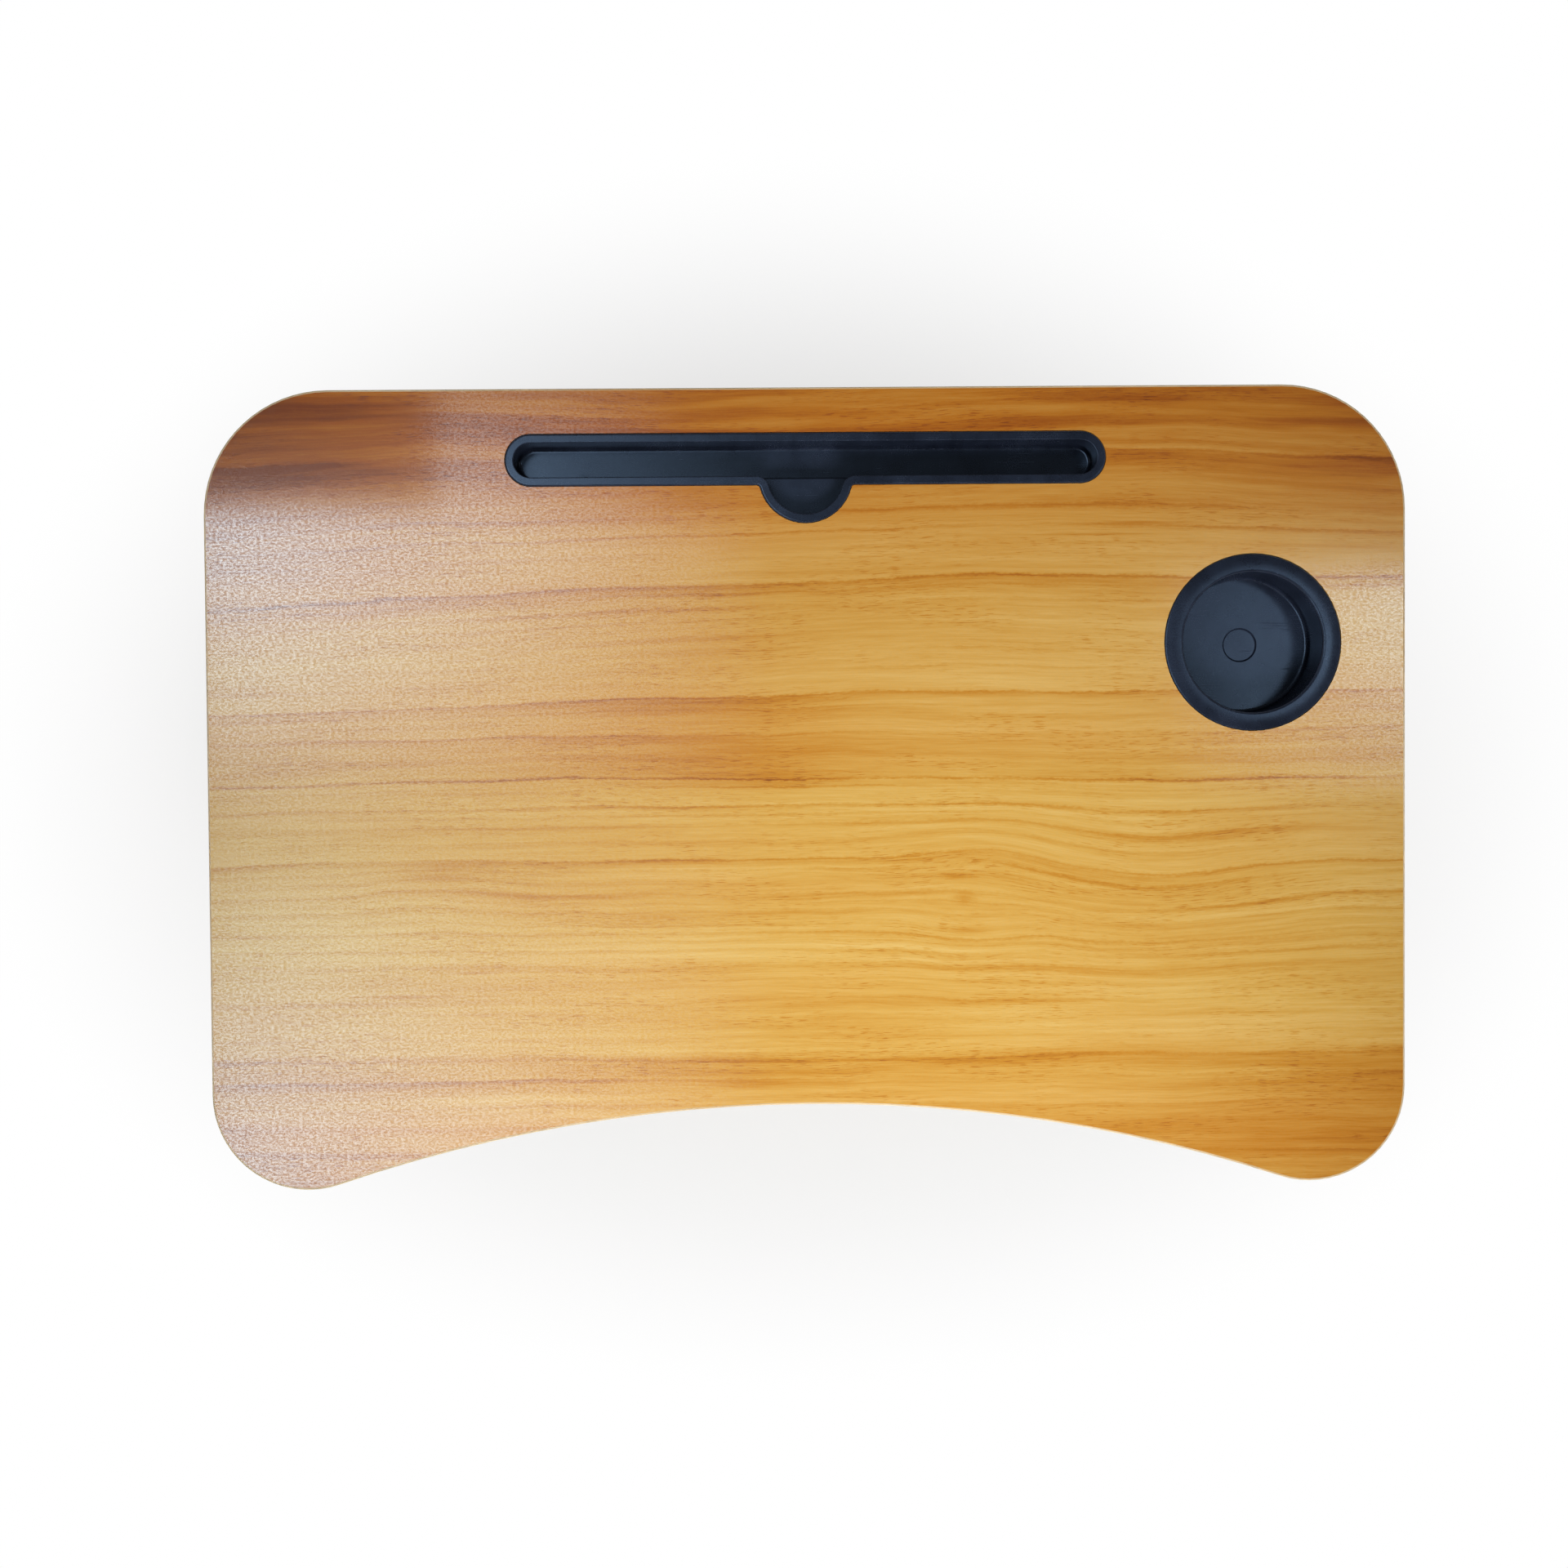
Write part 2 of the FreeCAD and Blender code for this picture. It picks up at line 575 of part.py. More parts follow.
def knuckle():
    """Hinge eye with a stop heel: flat against the bracket when open, round where it turns to fold."""
    top = V(0, STOP_Z, 0)
    heel = V(HEEL_REACH, STOP_Z, 0)
    cam_end = at_angle(V(0, 0, 0), STOP_Z, 90 + CAM_SWEEP)
    outer = tangent_point(heel, EYE_R, -1)
    inner = tangent_point(cam_end, EYE_R, 1)
    cam = side_profile(
        [
            line(top, heel),
            line(heel, outer),
            arc(outer, V(0, -EYE_R, 0), inner),
            line(inner, cam_end),
            arc(cam_end, at_angle(V(0, 0, 0), STOP_Z, 90 + CAM_SWEEP / 2), top),
        ],
        KNUCKLE_WIDTH / 2,
    )
    rims = edges_at(cam, lambda e: abs(e.BoundBox.YLength) < 1e-6)
    cam = cam.makeChamfer(KNUCKLE_CHAMFER, rims)
    plug_r = TUBE_R - TUBE_WALL - PLUG_FIT
    plug_end = -TUBE_START - PLUG_LENGTH
    shank = turned(
        [
            (0, plug_end),
            (plug_r - PLUG_CHAMFER, plug_end),
            (plug_r, plug_end + PLUG_CHAMFER),
            (plug_r, -TUBE_START),
            (TUBE_R, -TUBE_START),
            (TUBE_R, 0),
            (0, 0),
        ]
    ).cut(rivet_hole(0.0))
    solid = cam.fuse(down_the_leg(shank)).removeSplitter()
    bore = Part.makeCylinder(PIN_R + HINGE_FIT, 2 * KNUCKLE_WIDTH, V(0, -KNUCKLE_WIDTH, 0), V(0, 1, 0))
    return solid.cut(bore)


def rivet_hole(y):
    """The cross hole for a rivet, in a leg that hangs straight down."""
    z = -TUBE_START - RIVET_FROM_END
    return Part.makeCylinder(RIVET_R + RIVET_FIT, 4 * TUBE_R, V(-2 * TUBE_R, y, z), V(1, 0, 0))


def knuckle_rivet():
    """Domed rivet through the tube and the plug, with its heads bedded on the round of the tube."""
    z = -TUBE_START - RIVET_FROM_END
    seat = TUBE_R - RIVET_HEAD
    rivet = turned(
        [
            (RIVET_HEAD_R, -TUBE_R, *dome(RIVET_HEAD_R, -TUBE_R, -RIVET_HEAD)[2:]),
            (RIVET_HEAD_R, -seat),
            (RIVET_R, -seat),
            (RIVET_R, seat),
            (RIVET_HEAD_R, seat),
            (RIVET_HEAD_R, TUBE_R),
            dome(RIVET_HEAD_R, TUBE_R, RIVET_HEAD),
            (0, -TUBE_R - RIVET_HEAD),
        ]
    )
    rivet.rotate(V(0, 0, 0), V(0, 1, 0), 90)
    rivet.translate(V(0, 0, z))
    tube = Part.makeCylinder(TUBE_R, 4 * RIVET_HEAD_R, V(0, 0, z - 2 * RIVET_HEAD_R))
    hole = Part.makeCylinder(RIVET_R, 2 * TUBE_R, V(-TUBE_R, 0, z), V(1, 0, 0))
    return rivet.cut(tube.cut(hole))


# Legs, drawn hanging straight down from the pin at the origin
def leg_path():
    top, low = -TUBE_START, -LEG_LENGTH
    half, bend = LEG_HALF_WIDTH, TUBE_BEND_R
    corner = bend * (1 - math.sqrt(0.5))
    return Part.Wire(
        [
            line(V(0, -half, top), V(0, -half, low + bend)),
            arc(V(0, -half, low + bend), V(0, -half + corner, low + corner), V(0, -half + bend, low)),
            line(V(0, -half + bend, low), V(0, half - bend, low)),
            arc(V(0, half - bend, low), V(0, half - corner, low + corner), V(0, half, low + bend)),
            line(V(0, half, low + bend), V(0, half, top)),
        ]
    )


def leg_tube():
    """One bent tube: two uprights and the bar that stands on the floor."""
    path = leg_path()
    start = V(0, -LEG_HALF_WIDTH, -TUBE_START)
    rods = []
    for radius in (TUBE_R, TUBE_R - TUBE_WALL):
        ring = Part.Wire(Part.makeCircle(radius, start, V(0, 0, -1)))
        rods.append(path.makePipeShell([ring], True, False))
    tube = rods[0].cut(rods[1])
    return tube.cut([rivet_hole(-LEG_HALF_WIDTH), rivet_hole(LEG_HALF_WIDTH)])


def foot_sleeve():
    """Grooved rubber sleeve, centred on the Z axis."""
    half = SLEEVE_LENGTH / 2
    bore = TUBE_R + SLEEVE_FIT
    side = []
    for end in (-1, 1):
        starts = [half - SLEEVE_GROOVE_START - k * SLEEVE_GROOVE_PITCH for k in range(SLEEVE_GROOVES)]
        for z in sorted(end * start for start in starts):
            low, high = z - SLEEVE_GROOVE / 2, z + SLEEVE_GROOVE / 2
            root = SLEEVE_R - SLEEVE_GROOVE_DEPTH
            side += [(SLEEVE_R, low), (root, low), (root, high), (SLEEVE_R, high)]
    return turned(
        [
            (bore, half),
            (bore, -half),
            (SLEEVE_R - SLEEVE_ROUND, -half),
            quarter(SLEEVE_R - SLEEVE_ROUND, SLEEVE_ROUND - half, SLEEVE_ROUND, -90, 0),
            *side,
            (SLEEVE_R, half - SLEEVE_ROUND),
            quarter(SLEEVE_R - SLEEVE_ROUND, half - SLEEVE_ROUND, SLEEVE_ROUND, 0, 90),
        ]
    )


def right_leg():
    """The pieces of the open right leg, in place."""
    pivot = V(PIN_X, 0, PIN_Z)
    floor = block(0, BOARD_WIDTH, -BOARD_DEPTH, BOARD_DEPTH, -SLEEVE_R, 0)
    tube = down_the_leg(leg_tube())
    tube.translate(pivot)
    pieces = {"leg_tube": tube}
    rivets = []
    for row, name in ((-1, "front"), (1, "rear")):
        across = V(0, row * LEG_HALF_WIDTH, 0)
        eye = knuckle()
        eye.translate(pivot + across)
        pieces[f"{name}_knuckle"] = eye
        rivet = down_the_leg(knuckle_rivet())
        rivet.translate(pivot + across)
        rivets.append(rivet)
        sleeve = foot_sleeve()
        sleeve.rotate(V(0, 0, 0), V(1, 0, 0), 90)
        sleeve.translate(V(0, row * SLEEVE_Y, -LEG_LENGTH))
        sleeve = down_the_leg(sleeve)
        sleeve.translate(pivot)
        pieces[f"{name}_foot_sleeve"] = sleeve.cut(floor)
    pieces["knuckle_rivets"] = Part.makeCompound(rivets)
    return pieces


# Clips for the folded legs
def leg_clip():
    """Right clip: a base plate, a web and two arms that take the folded leg's bar from below."""
    reach = TUBE_R + CLIP_GAP
    outer = reach + CLIP_ARM
    base_low = PIN_DROP - CLIP_BASE
    base = prism(
        rounded_rectangle(
            -CLIP_BASE_WIDTH / 2, CLIP_BASE_WIDTH / 2, -CLIP_BASE_HALF, CLIP_BASE_HALF, CLIP_CORNER_R
        ),
        base_low,
        PIN_DROP,
    )
    base = base.makeChamfer(CLIP_CHAMFER, edges_at(base, lambda e: e.BoundBox.ZMax < base_low + 1e-6))
    half = CLIP_WIDTH / 2
    web = block(-CLIP_WEB / 2, CLIP_WEB / 2, -half, half, reach, base_low)
    arms = side_profile(
        [
            arc(V(-outer, 0, 0), V(0, outer, 0), V(outer, 0, 0)),
            line(V(outer, 0, 0), V(outer, -CLIP_GRIP, 0)),
            line(V(outer, -CLIP_GRIP, 0), V(reach + CLIP_ARM / 2, -CLIP_GRIP, 0)),
            line(V(reach + CLIP_ARM / 2, -CLIP_GRIP, 0), V(reach, -CLIP_GRIP / 2, 0)),
            line(V(reach, -CLIP_GRIP / 2, 0), V(reach, 0, 0)),
            arc(V(reach, 0, 0), V(0, reach, 0), V(-reach, 0, 0)),
            line(V(-reach, 0, 0), V(-reach, -CLIP_GRIP / 2, 0)),
            line(V(-reach, -CLIP_GRIP / 2, 0), V(-reach - CLIP_ARM / 2, -CLIP_GRIP, 0)),
            line(V(-reach - CLIP_ARM / 2, -CLIP_GRIP, 0), V(-outer, -CLIP_GRIP, 0)),
            line(V(-outer, -CLIP_GRIP, 0), V(-outer, 0, 0)),
        ],
        half,
    )
    bar = Part.makeCylinder(reach, 2 * CLIP_WIDTH, V(0, -CLIP_WIDTH, 0), V(0, 1, 0))
    holes = [bar]
    for y in (-CLIP_SCREW_HALF, CLIP_SCREW_HALF):
        start = V(0, y, base_low - OVERSIZE)
        holes.append(Part.makeCylinder(SCREW_R + SCREW_HOLE_CLEARANCE, CLIP_BASE + 2 * OVERSIZE, start))
    clip = base.fuse([web, arms]).removeSplitter()
    inner = edges_at(clip, lambda e: e.BoundBox.XLength + e.BoundBox.ZLength < 1e-6 and is_web_corner(e))
    clip = clip.makeFillet(CLIP_FILLET, inner).cut(holes)
    clip.translate(V(BAR_X, 0, PIN_Z))
    return clip


def is_web_corner(edge):
    """True for the edges where a clip's web meets its base plate and its arms."""
    return abs(abs(edge.CenterOfMass.x) - CLIP_WEB / 2) < 1e-6


# Screws
def screw(x, y, thickness):
    """Round-headed screw under a plate of that thickness, driven up into the board."""
    seat = -thickness
    tip = SCREW_IN_BOARD
    solid = turned(
        [
            (0, tip),
            (SCREW_R, tip - SCREW_POINT),
            (SCREW_R, seat),
            (SCREW_HEAD_R, seat),
            (SCREW_HEAD_R, seat - SCREW_HEAD_EDGE),
            dome(SCREW_HEAD_R, seat - SCREW_HEAD_EDGE, SCREW_HEAD_EDGE - SCREW_HEAD),
        ]
    )
    half, arm = SCREW_CROSS_LENGTH / 2, SCREW_CROSS_WIDTH / 2
    low = seat - SCREW_HEAD - OVERSIZE
    high = seat - SCREW_HEAD + SCREW_CROSS_DEPTH
    solid = solid.cut([block(-half, half, -arm, arm, low, high), block(-arm, arm, -half, half, low, high)])
    solid.translate(V(x, y, UNDERSIDE))
    return solid


def build():
    """Every piece in place, by node name."""
    nodes = {}
    nodes["board_core"], nodes["top_laminate"], nodes["backing_sheet"] = board_layers()
    nodes["edge_band"] = edge_band()
    nodes["media_slot_tray"] = media_slot_tray()
    nodes["cup_holder"] = cup_holder()
    nuts = []
    for row, name in ((-1, "front"), (1, "rear")):
        place = V(PIN_X, row * LEG_HALF_WIDTH, PIN_Z)
        for kind, piece in (("bracket", hinge_bracket()), ("hinge_pin", hinge_pin())):
            piece.translate(place)
            nodes[f"right_{name}_{kind}"] = piece
            nodes[f"left_{name}_{kind}"] = mirrored(piece)
        nut = push_nut()
        nut.translate(place)
        nuts += [nut, mirrored(nut)]
    nodes["pin_push_nuts"] = Part.makeCompound(nuts)
    nodes["right_leg_clip"] = leg_clip()
    nodes["left_leg_clip"] = mirrored(nodes["right_leg_clip"])
    bracket_places, clip_places = screw_places()
    nodes["bracket_screws"] = Part.makeCompound([screw(x, y, PLATE) for x, y in bracket_places])
    nodes["clip_screws"] = Part.makeCompound([screw(x, y, CLIP_BASE) for x, y in clip_places])
    for name, piece in right_leg().items():
        nodes[f"right_{name}"] = piece
        nodes[f"left_{name}"] = mirrored(piece)
    return nodes


def main():
    os.makedirs("parts", exist_ok=True)
    for name, shape in build().items():
        shape.exportStep(os.path.join("parts", f"{name}.step"))
        solids = len(shape.Solids)
        print(f"{name}: {solids} solid(s), {shape.Volume / 1000:.2f} cm3, valid {shape.isValid()}")
    print(f"leg length {LEG_LENGTH:.2f}, folded bar at x {BAR_X:.2f}, front arc radius {FRONT_ARC_R:.1f}")


main()
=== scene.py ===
# %% [markdown]
# # A folding laptop table
#
# The table is a wood-grain board on two fold-in tube legs. A black tray for a tablet and a black cup holder
# are let into the board, and nylon hinges carry the legs. The CAD frame holds every rigid shape in its place,
# so most of this lesson is about finishes. The screws are made new, with Geometry Nodes.

import json
import math

import bpy
from mathutils import Matrix, Vector


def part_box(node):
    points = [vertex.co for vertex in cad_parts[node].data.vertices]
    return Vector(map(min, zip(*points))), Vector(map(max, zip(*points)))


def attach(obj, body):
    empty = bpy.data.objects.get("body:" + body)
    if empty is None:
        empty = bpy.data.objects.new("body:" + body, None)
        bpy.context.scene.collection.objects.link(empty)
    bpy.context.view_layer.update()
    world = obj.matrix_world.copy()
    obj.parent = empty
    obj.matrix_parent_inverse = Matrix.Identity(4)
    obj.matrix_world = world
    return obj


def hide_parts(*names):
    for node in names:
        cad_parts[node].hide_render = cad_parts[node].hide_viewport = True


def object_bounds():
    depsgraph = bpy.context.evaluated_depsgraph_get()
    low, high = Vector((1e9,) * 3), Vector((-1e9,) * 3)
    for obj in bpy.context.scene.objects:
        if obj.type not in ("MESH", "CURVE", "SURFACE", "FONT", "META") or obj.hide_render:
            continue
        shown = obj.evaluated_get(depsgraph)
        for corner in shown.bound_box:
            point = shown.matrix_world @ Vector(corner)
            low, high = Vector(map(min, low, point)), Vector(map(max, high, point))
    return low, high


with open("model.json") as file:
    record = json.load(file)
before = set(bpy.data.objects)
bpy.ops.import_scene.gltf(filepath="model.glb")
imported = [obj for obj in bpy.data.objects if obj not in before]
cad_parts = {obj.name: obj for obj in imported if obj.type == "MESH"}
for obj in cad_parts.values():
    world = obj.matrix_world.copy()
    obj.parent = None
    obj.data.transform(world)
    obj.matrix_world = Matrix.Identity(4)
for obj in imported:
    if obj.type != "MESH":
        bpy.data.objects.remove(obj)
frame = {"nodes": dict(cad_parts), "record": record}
cad_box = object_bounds()

# %% [markdown]
# ## Camera
#
# The photograph looks almost straight down on the board. A camera could be aimed by eye, but four corners of
# the board and its known size give the lens and the small tilts by calculation, and then every hole and edge
# falls where the photograph has it. The camera's rotation is the transpose of the board's, because the board
# was fitted in the camera's view.

# %% Camera
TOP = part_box("top_laminate")[1].z
SENSOR = 36.0  # millimetres
LENS = 36.77
TILTS = {"Z": 0.450, "Y": 0.402, "X": 1.213}  # degrees of the board in the view
BOARD_IN_VIEW = Vector((0.011988, -0.002149, -0.8024))  # metres right, up and ahead

turn = Matrix.Identity(3)
for axis, degrees in TILTS.items():
    turn = turn @ Matrix.Rotation(math.radians(degrees), 3, axis)
back = turn.transposed()
camera = bpy.data.objects.new("camera", bpy.data.cameras.new("camera"))
camera.data.sensor_width = SENSOR
camera.data.lens = LENS
camera.matrix_world = Matrix.Translation(Vector((0, 0, TOP)) - back @ BOARD_IN_VIEW) @ back.to_4x4()
bpy.context.scene.collection.objects.link(camera)
bpy.context.scene.camera = camera
print("camera at", [round(value, 3) for value in camera.location])

# %% [markdown]
# ## Shading by arithmetic
#
# A finish is a tree of nodes, and a tree drawn by hand soon hides its idea. Here one small class stands for a
# socket: sums and products of it add Math nodes, and its one method node() adds any other node, with its
# settings first and its inputs after. The same class serves the Geometry Nodes further down.

# %% A socket that can be calculated with


class Wire:
    """One output socket. Arithmetic adds Math nodes, and node() adds any other node."""

    def __init__(self, tree, socket=None):
        self.tree = tree
        self.socket = socket

    def node(self, kind, settings=None, inputs=None, out=0):
        made = self.tree.nodes.new(kind)
        for name, value in (settings or {}).items():
            if name == "stops":
                lay_stops(made.color_ramp.elements, value)
            else:
                setattr(made, name, value)
        for key, value in (inputs or {}).items():
            feed(self.tree, made.inputs[key], value)
        return Wire(self.tree, made.outputs[out] if made.outputs else None)

    def math(self, operation, *values):
        return self.node("ShaderNodeMath", {"operation": operation}, dict(enumerate(values)))

    def __add__(self, other):
        return self.math("ADD", self, other)

    __radd__ = __add__

    def __sub__(self, other):
        return self.math("SUBTRACT", self, other)

    def __rsub__(self, other):
        return self.math("SUBTRACT", other, self)

    def __mul__(self, other):
        return self.math("MULTIPLY", self, other)

    __rmul__ = __mul__


def feed(tree, socket, value):
    """Links a wire, or each of a list of wires, to a socket, or sets the socket's own value."""
    if isinstance(value, Wire):
        tree.links.new(value.socket, socket)
    elif isinstance(value, list):
        for wire in value:
            tree.links.new(wire.socket, socket)
    else:
        socket.default_value = value


def lay_stops(elements, stops):
    """Sets a ramp's stops, each a place from 0 to 1 and a grey value or a colour."""
    elements.remove(elements[1])
    for count, (place, value) in enumerate(stops):
        element = elements.new(place) if count else elements[0]
        element.position = place
        element.color = value if isinstance(value, tuple) else (value, value, value, 1.0)


# %% Helpers that every finish uses


def paint(red, green, blue):
    """A colour from 0 to 255 as a screen shows it, in the linear light that shaders work in."""
    parts = [value / 255 for value in (red, green, blue)]
    return tuple(v / 12.92 if v <= 0.04045 else ((v + 0.055) / 1.055) ** 2.4 for v in parts) + (1.0,)


def grain(place, size, detail=2.0, rough=0.5, flat=False):
    """Noise from 0 to 1 about one half, in spots of that size in millimetres: one number or three."""
    sizes = size if isinstance(size, tuple) else (size, size, size)
    scale = tuple(1000 / part for part in sizes)
    stretched = place.node("ShaderNodeVectorMath", {"operation": "MULTIPLY"}, {0: place, 1: scale})
    return place.node(
        "ShaderNodeTexNoise",
        {"noise_dimensions": "2D" if flat else "3D"},
        {"Vector": stretched, "Scale": 1.0, "Detail": detail, "Roughness": rough},
    )


def span(value, low, high, start=0.0, end=1.0):
    """A smooth step from start, where the value is low, to end, where it is high."""
    limits = {"From Min": low, "From Max": high, "To Min": start, "To Max": end}
    return value.node("ShaderNodeMapRange", {"interpolation_type": "SMOOTHSTEP"}, {"Value": value, **limits})


def blend(share, one, other, way="MIX"):
    """A share of the other colour laid over the first, or multiplied with it."""
    inputs = {0: share, 6: one, 7: other}  # 6 and 7 are its sockets for colours
    return share.node("ShaderNodeMix", {"data_type": "RGBA", "blend_type": way}, inputs, out=2)


def relief(height, depth):
    """A surface normal from a height of 0 to 1 that stands for that depth in millimetres."""
    return height.node("ShaderNodeBump", inputs={"Height": height, "Distance": depth / 1000, "Strength": 1.0})


def finish(name):
    """A new material: itself, its Principled shader and the object's own coordinates in metres."""
    material = bpy.data.materials.new(name)
    material.use_nodes = True
    shader = material.node_tree.nodes["Principled BSDF"]
    place = Wire(material.node_tree).node("ShaderNodeTexCoord", out="Object")
    return material, shader, place


def coat(material, shader, sockets):
    """Feeds the shader's sockets by name."""
    for name, value in sockets.items():
        feed(material.node_tree, shader.inputs[name], value)
    print("finish", material.name, "with", len(material.node_tree.nodes), "nodes")
    return material


# %% [markdown]
# ## Floor
#
# The photograph has a white ground. Seen straight down, the floor is the whole background, so its own colour
# makes the white. To the camera and to mirrors it glows, which keeps it white where the board takes its
# light. Under the table it glows less, so that the table's shadow stays and the table stands on something.
# From below, the floor is clear, because the underside is worth looking at.

# %% Floor
FLOOR_HALF = 6.0  # metres
WHITE = (1.0, 1.0, 1.0, 1.0)
PAPER = (0.90, 0.90, 0.90, 1.0)
SHADOW_REACH = (0.46, 0.34)  # metres from the middle, in X and Y
SHADOW_FADE = (0.40, 1.25)  # shares of that reach between which the shadow fades out
GLOW_UNDER, GLOW_AROUND = 0.56, 1.0  # shares of the floor's look that are plain white


def pale_floor():
    material = bpy.data.materials.new("pale_floor")
    material.use_nodes = True
    tree = material.node_tree
    tree.nodes.clear()
    start = Wire(tree)
    place = start.node("ShaderNodeTexCoord", out="Object")
    scale = (1 / SHADOW_REACH[0], 1 / SHADOW_REACH[1], 0.0)
    place = start.node("ShaderNodeVectorMath", {"operation": "MULTIPLY"}, {0: place, 1: scale})
    reach = start.node("ShaderNodeVectorMath", {"operation": "LENGTH"}, {0: place}, out="Value")
    sight = start.node("ShaderNodeLightPath", out="Is Camera Ray")
    for ray in ("Is Glossy Ray", "Is Transmission Ray"):
        sight = sight.math("MAXIMUM", sight, start.node("ShaderNodeLightPath", out=ray))
    share = sight * span(reach, *SHADOW_FADE, GLOW_UNDER, GLOW_AROUND)
    paper = start.node("ShaderNodeBsdfDiffuse", inputs={"Color": PAPER})
    glow = start.node("ShaderNodeEmission", inputs={"Color": WHITE, "Strength": 1.0})
    above = start.node("ShaderNodeMixShader", inputs={0: share, 1: paper, 2: glow})
    below = start.node("ShaderNodeBsdfTransparent")
    side = start.node("ShaderNodeNewGeometry", out="Backfacing")
    both = start.node("ShaderNodeMixShader", inputs={0: side, 1: above, 2: below})
    start.node("ShaderNodeOutputMaterial", inputs={"Surface": both})
    return material


floor = bpy.data.objects.new("floor", bpy.data.meshes.new("floor"))
corners = [(x * FLOOR_HALF, y * FLOOR_HALF, 0.0) for x, y in ((-1, -1), (1, -1), (1, 1), (-1, 1))]
floor.data.from_pydata(corners, [], [(0, 1, 2, 3)])
floor.data.materials.append(pale_floor())
bpy.context.scene.collection.objects.link(floor)
print("floor", 2 * FLOOR_HALF, "metres wide")

# %% [markdown]
# ## Room light
#
# The table stands in a room with pale walls and a dim ceiling. A world of one grey would lay a veil over the
# board, which mirrors the ceiling straight up to the camera, and the wood would lose its colour. So the
# world is white at eye level and fades overhead. The camera itself sees plain white all round.

# %% Room light
WALL_TOP, CEILING = 0.05, 0.36  # heights in the sky, as the sine of their angle
CEILING_LIGHT = 0.08

world = bpy.data.worlds.new("studio")
world.use_nodes = True
backdrop = world.node_tree.nodes["Background"]
start = Wire(world.node_tree)
way = start.node("ShaderNodeTexCoord", out="Generated")
height = start.node("ShaderNodeSeparateXYZ", inputs={0: way}, out="Z")
walls = span(height, WALL_TOP, CEILING, 1.0, CEILING_LIGHT)
backdrop.inputs["Color"].default_value = WHITE
seen = start.node("ShaderNodeLightPath", out="Is Camera Ray")
feed(world.node_tree, backdrop.inputs["Strength"], walls.math("MAXIMUM", walls, seen))
bpy.context.scene.world = world
bpy.context.scene.view_settings.view_transform = "Standard"
print("room light from walls up to", round(math.degrees(math.asin(WALL_TOP))), "degrees")

# %% [markdown]
# ## Lamps
#
# One softbox with a grid lights the middle of the board from the front. It is kept out of mirrors, because
# its image would burn out the wood in some views. The pale veils at the left and right of the board are the
# mirror images of windows. A window is put where the camera's line of sight goes after it bounces off the
# board, so it is given by the stretch of board that it veils. Each window's brightness runs from corner to
# corner, because the veils fade out slowly, and it is seen in gloss only, because the windows of the room
# are much further away than these. A weak lamp that lies on the floor stands for the light that a white
# floor throws back at the edge and the underside.

# %% Lamps
LAMP_HEIGHT = 1.6  # metres above the board
COOL = (0.68, 0.88, 1.0)  # light of the windows
WARM = (1.0, 0.97, 0.92)  # light of the other lamps
VEILS = {
    # stretch of board in X and in Y (mm), then brightness front left, front right, rear left, rear right
    "window_rear": ((-310, -25), (-25, 141), (1.7, 0.1, 12.4, 0.1)),
    "window_front": ((-310, -25), (-215, -25), (11.5, 0.1, 1.7, 0.1)),
    "window_gap": ((-184, -70), (141, 215), (5.8, 0.5, 0.6, 0.1)),
    "window_right": ((182, 320), (-2, 107), (0.1, 2.7, 0.6, 8.4)),
}
KEY_PLACE, KEY_AIM = Vector((0.12, -0.66, TOP + 0.80)), Vector((0.02, -0.01, TOP))
KEY_SIDES, KEY_SPREAD, KEY_LIGHT = (0.50, 0.40), 62, 2.95  # metres, degrees and brightness
BOUNCE_SIDES, BOUNCE_HEIGHT, BOUNCE_LIGHT = (3.0, 3.0), 0.001, 0.35  # metres, metres and brightness


def lamp(name, sides, colour):
    """A rectangular softbox that shines straight down, with a brightness of 1."""
    light = bpy.data.lights.new(name, "AREA")
    light.shape = "RECTANGLE"
    light.size, light.size_y = sides
    light.energy = math.pi * sides[0] * sides[1]
    light.color = colour
    box = bpy.data.objects.new(name, light)
    box.visible_camera = False
    bpy.context.scene.collection.objects.link(box)
    return box


def fade(light, corners):
    """Sets a brightness that runs evenly between the values at the lamp's four corners."""
    light.use_nodes = True
    start = Wire(light.node_tree)
    place = start.node("ShaderNodeNewGeometry", out="Parametric")
    right = start.node("ShaderNodeSeparateXYZ", inputs={0: place}, out="X")
    rear = start.node("ShaderNodeSeparateXYZ", inputs={0: place}, out="Y")
    front_side = right * (corners[1] - corners[0]) + corners[0]
    rear_side = right * (corners[3] - corners[2]) + corners[2]
    strength = light.node_tree.nodes["Emission"].inputs["Strength"]
    feed(light.node_tree, strength, rear * (rear_side - front_side) + front_side)


eye = camera.location
grow = 1 + LAMP_HEIGHT / (eye.z - TOP)
for name, (x_range, y_range, corners) in VEILS.items():
    x_low, x_high = (eye.x + (x / 1000 - eye.x) * grow for x in x_range)
    y_low, y_high = (eye.y + (y / 1000 - eye.y) * grow for y in y_range)
    window = lamp(name, (x_high - x_low, y_high - y_low), COOL)
    window.location = ((x_low + x_high) / 2, (y_low + y_high) / 2, TOP + LAMP_HEIGHT)
    window.visible_diffuse = False
    fade(window.data, corners)
    print(name, [round(side, 2) for side in (x_high - x_low, y_high - y_low)], "metres")
key = lamp("key_box", KEY_SIDES, WARM)
key.location = KEY_PLACE
key.rotation_euler = (KEY_AIM - KEY_PLACE).to_track_quat("-Z", "Y").to_euler()
key.data.spread = math.radians(KEY_SPREAD)
key.data.energy *= KEY_LIGHT
key.visible_glossy = False
print("key_box", round(key.data.energy, 1), "watts")
bounce = lamp("floor_bounce", BOUNCE_SIDES, WARM)
bounce.location.z = BOUNCE_HEIGHT
bounce.rotation_euler.x = math.pi
bounce.visible_glossy = False
bounce.data.energy *= BOUNCE_LIGHT
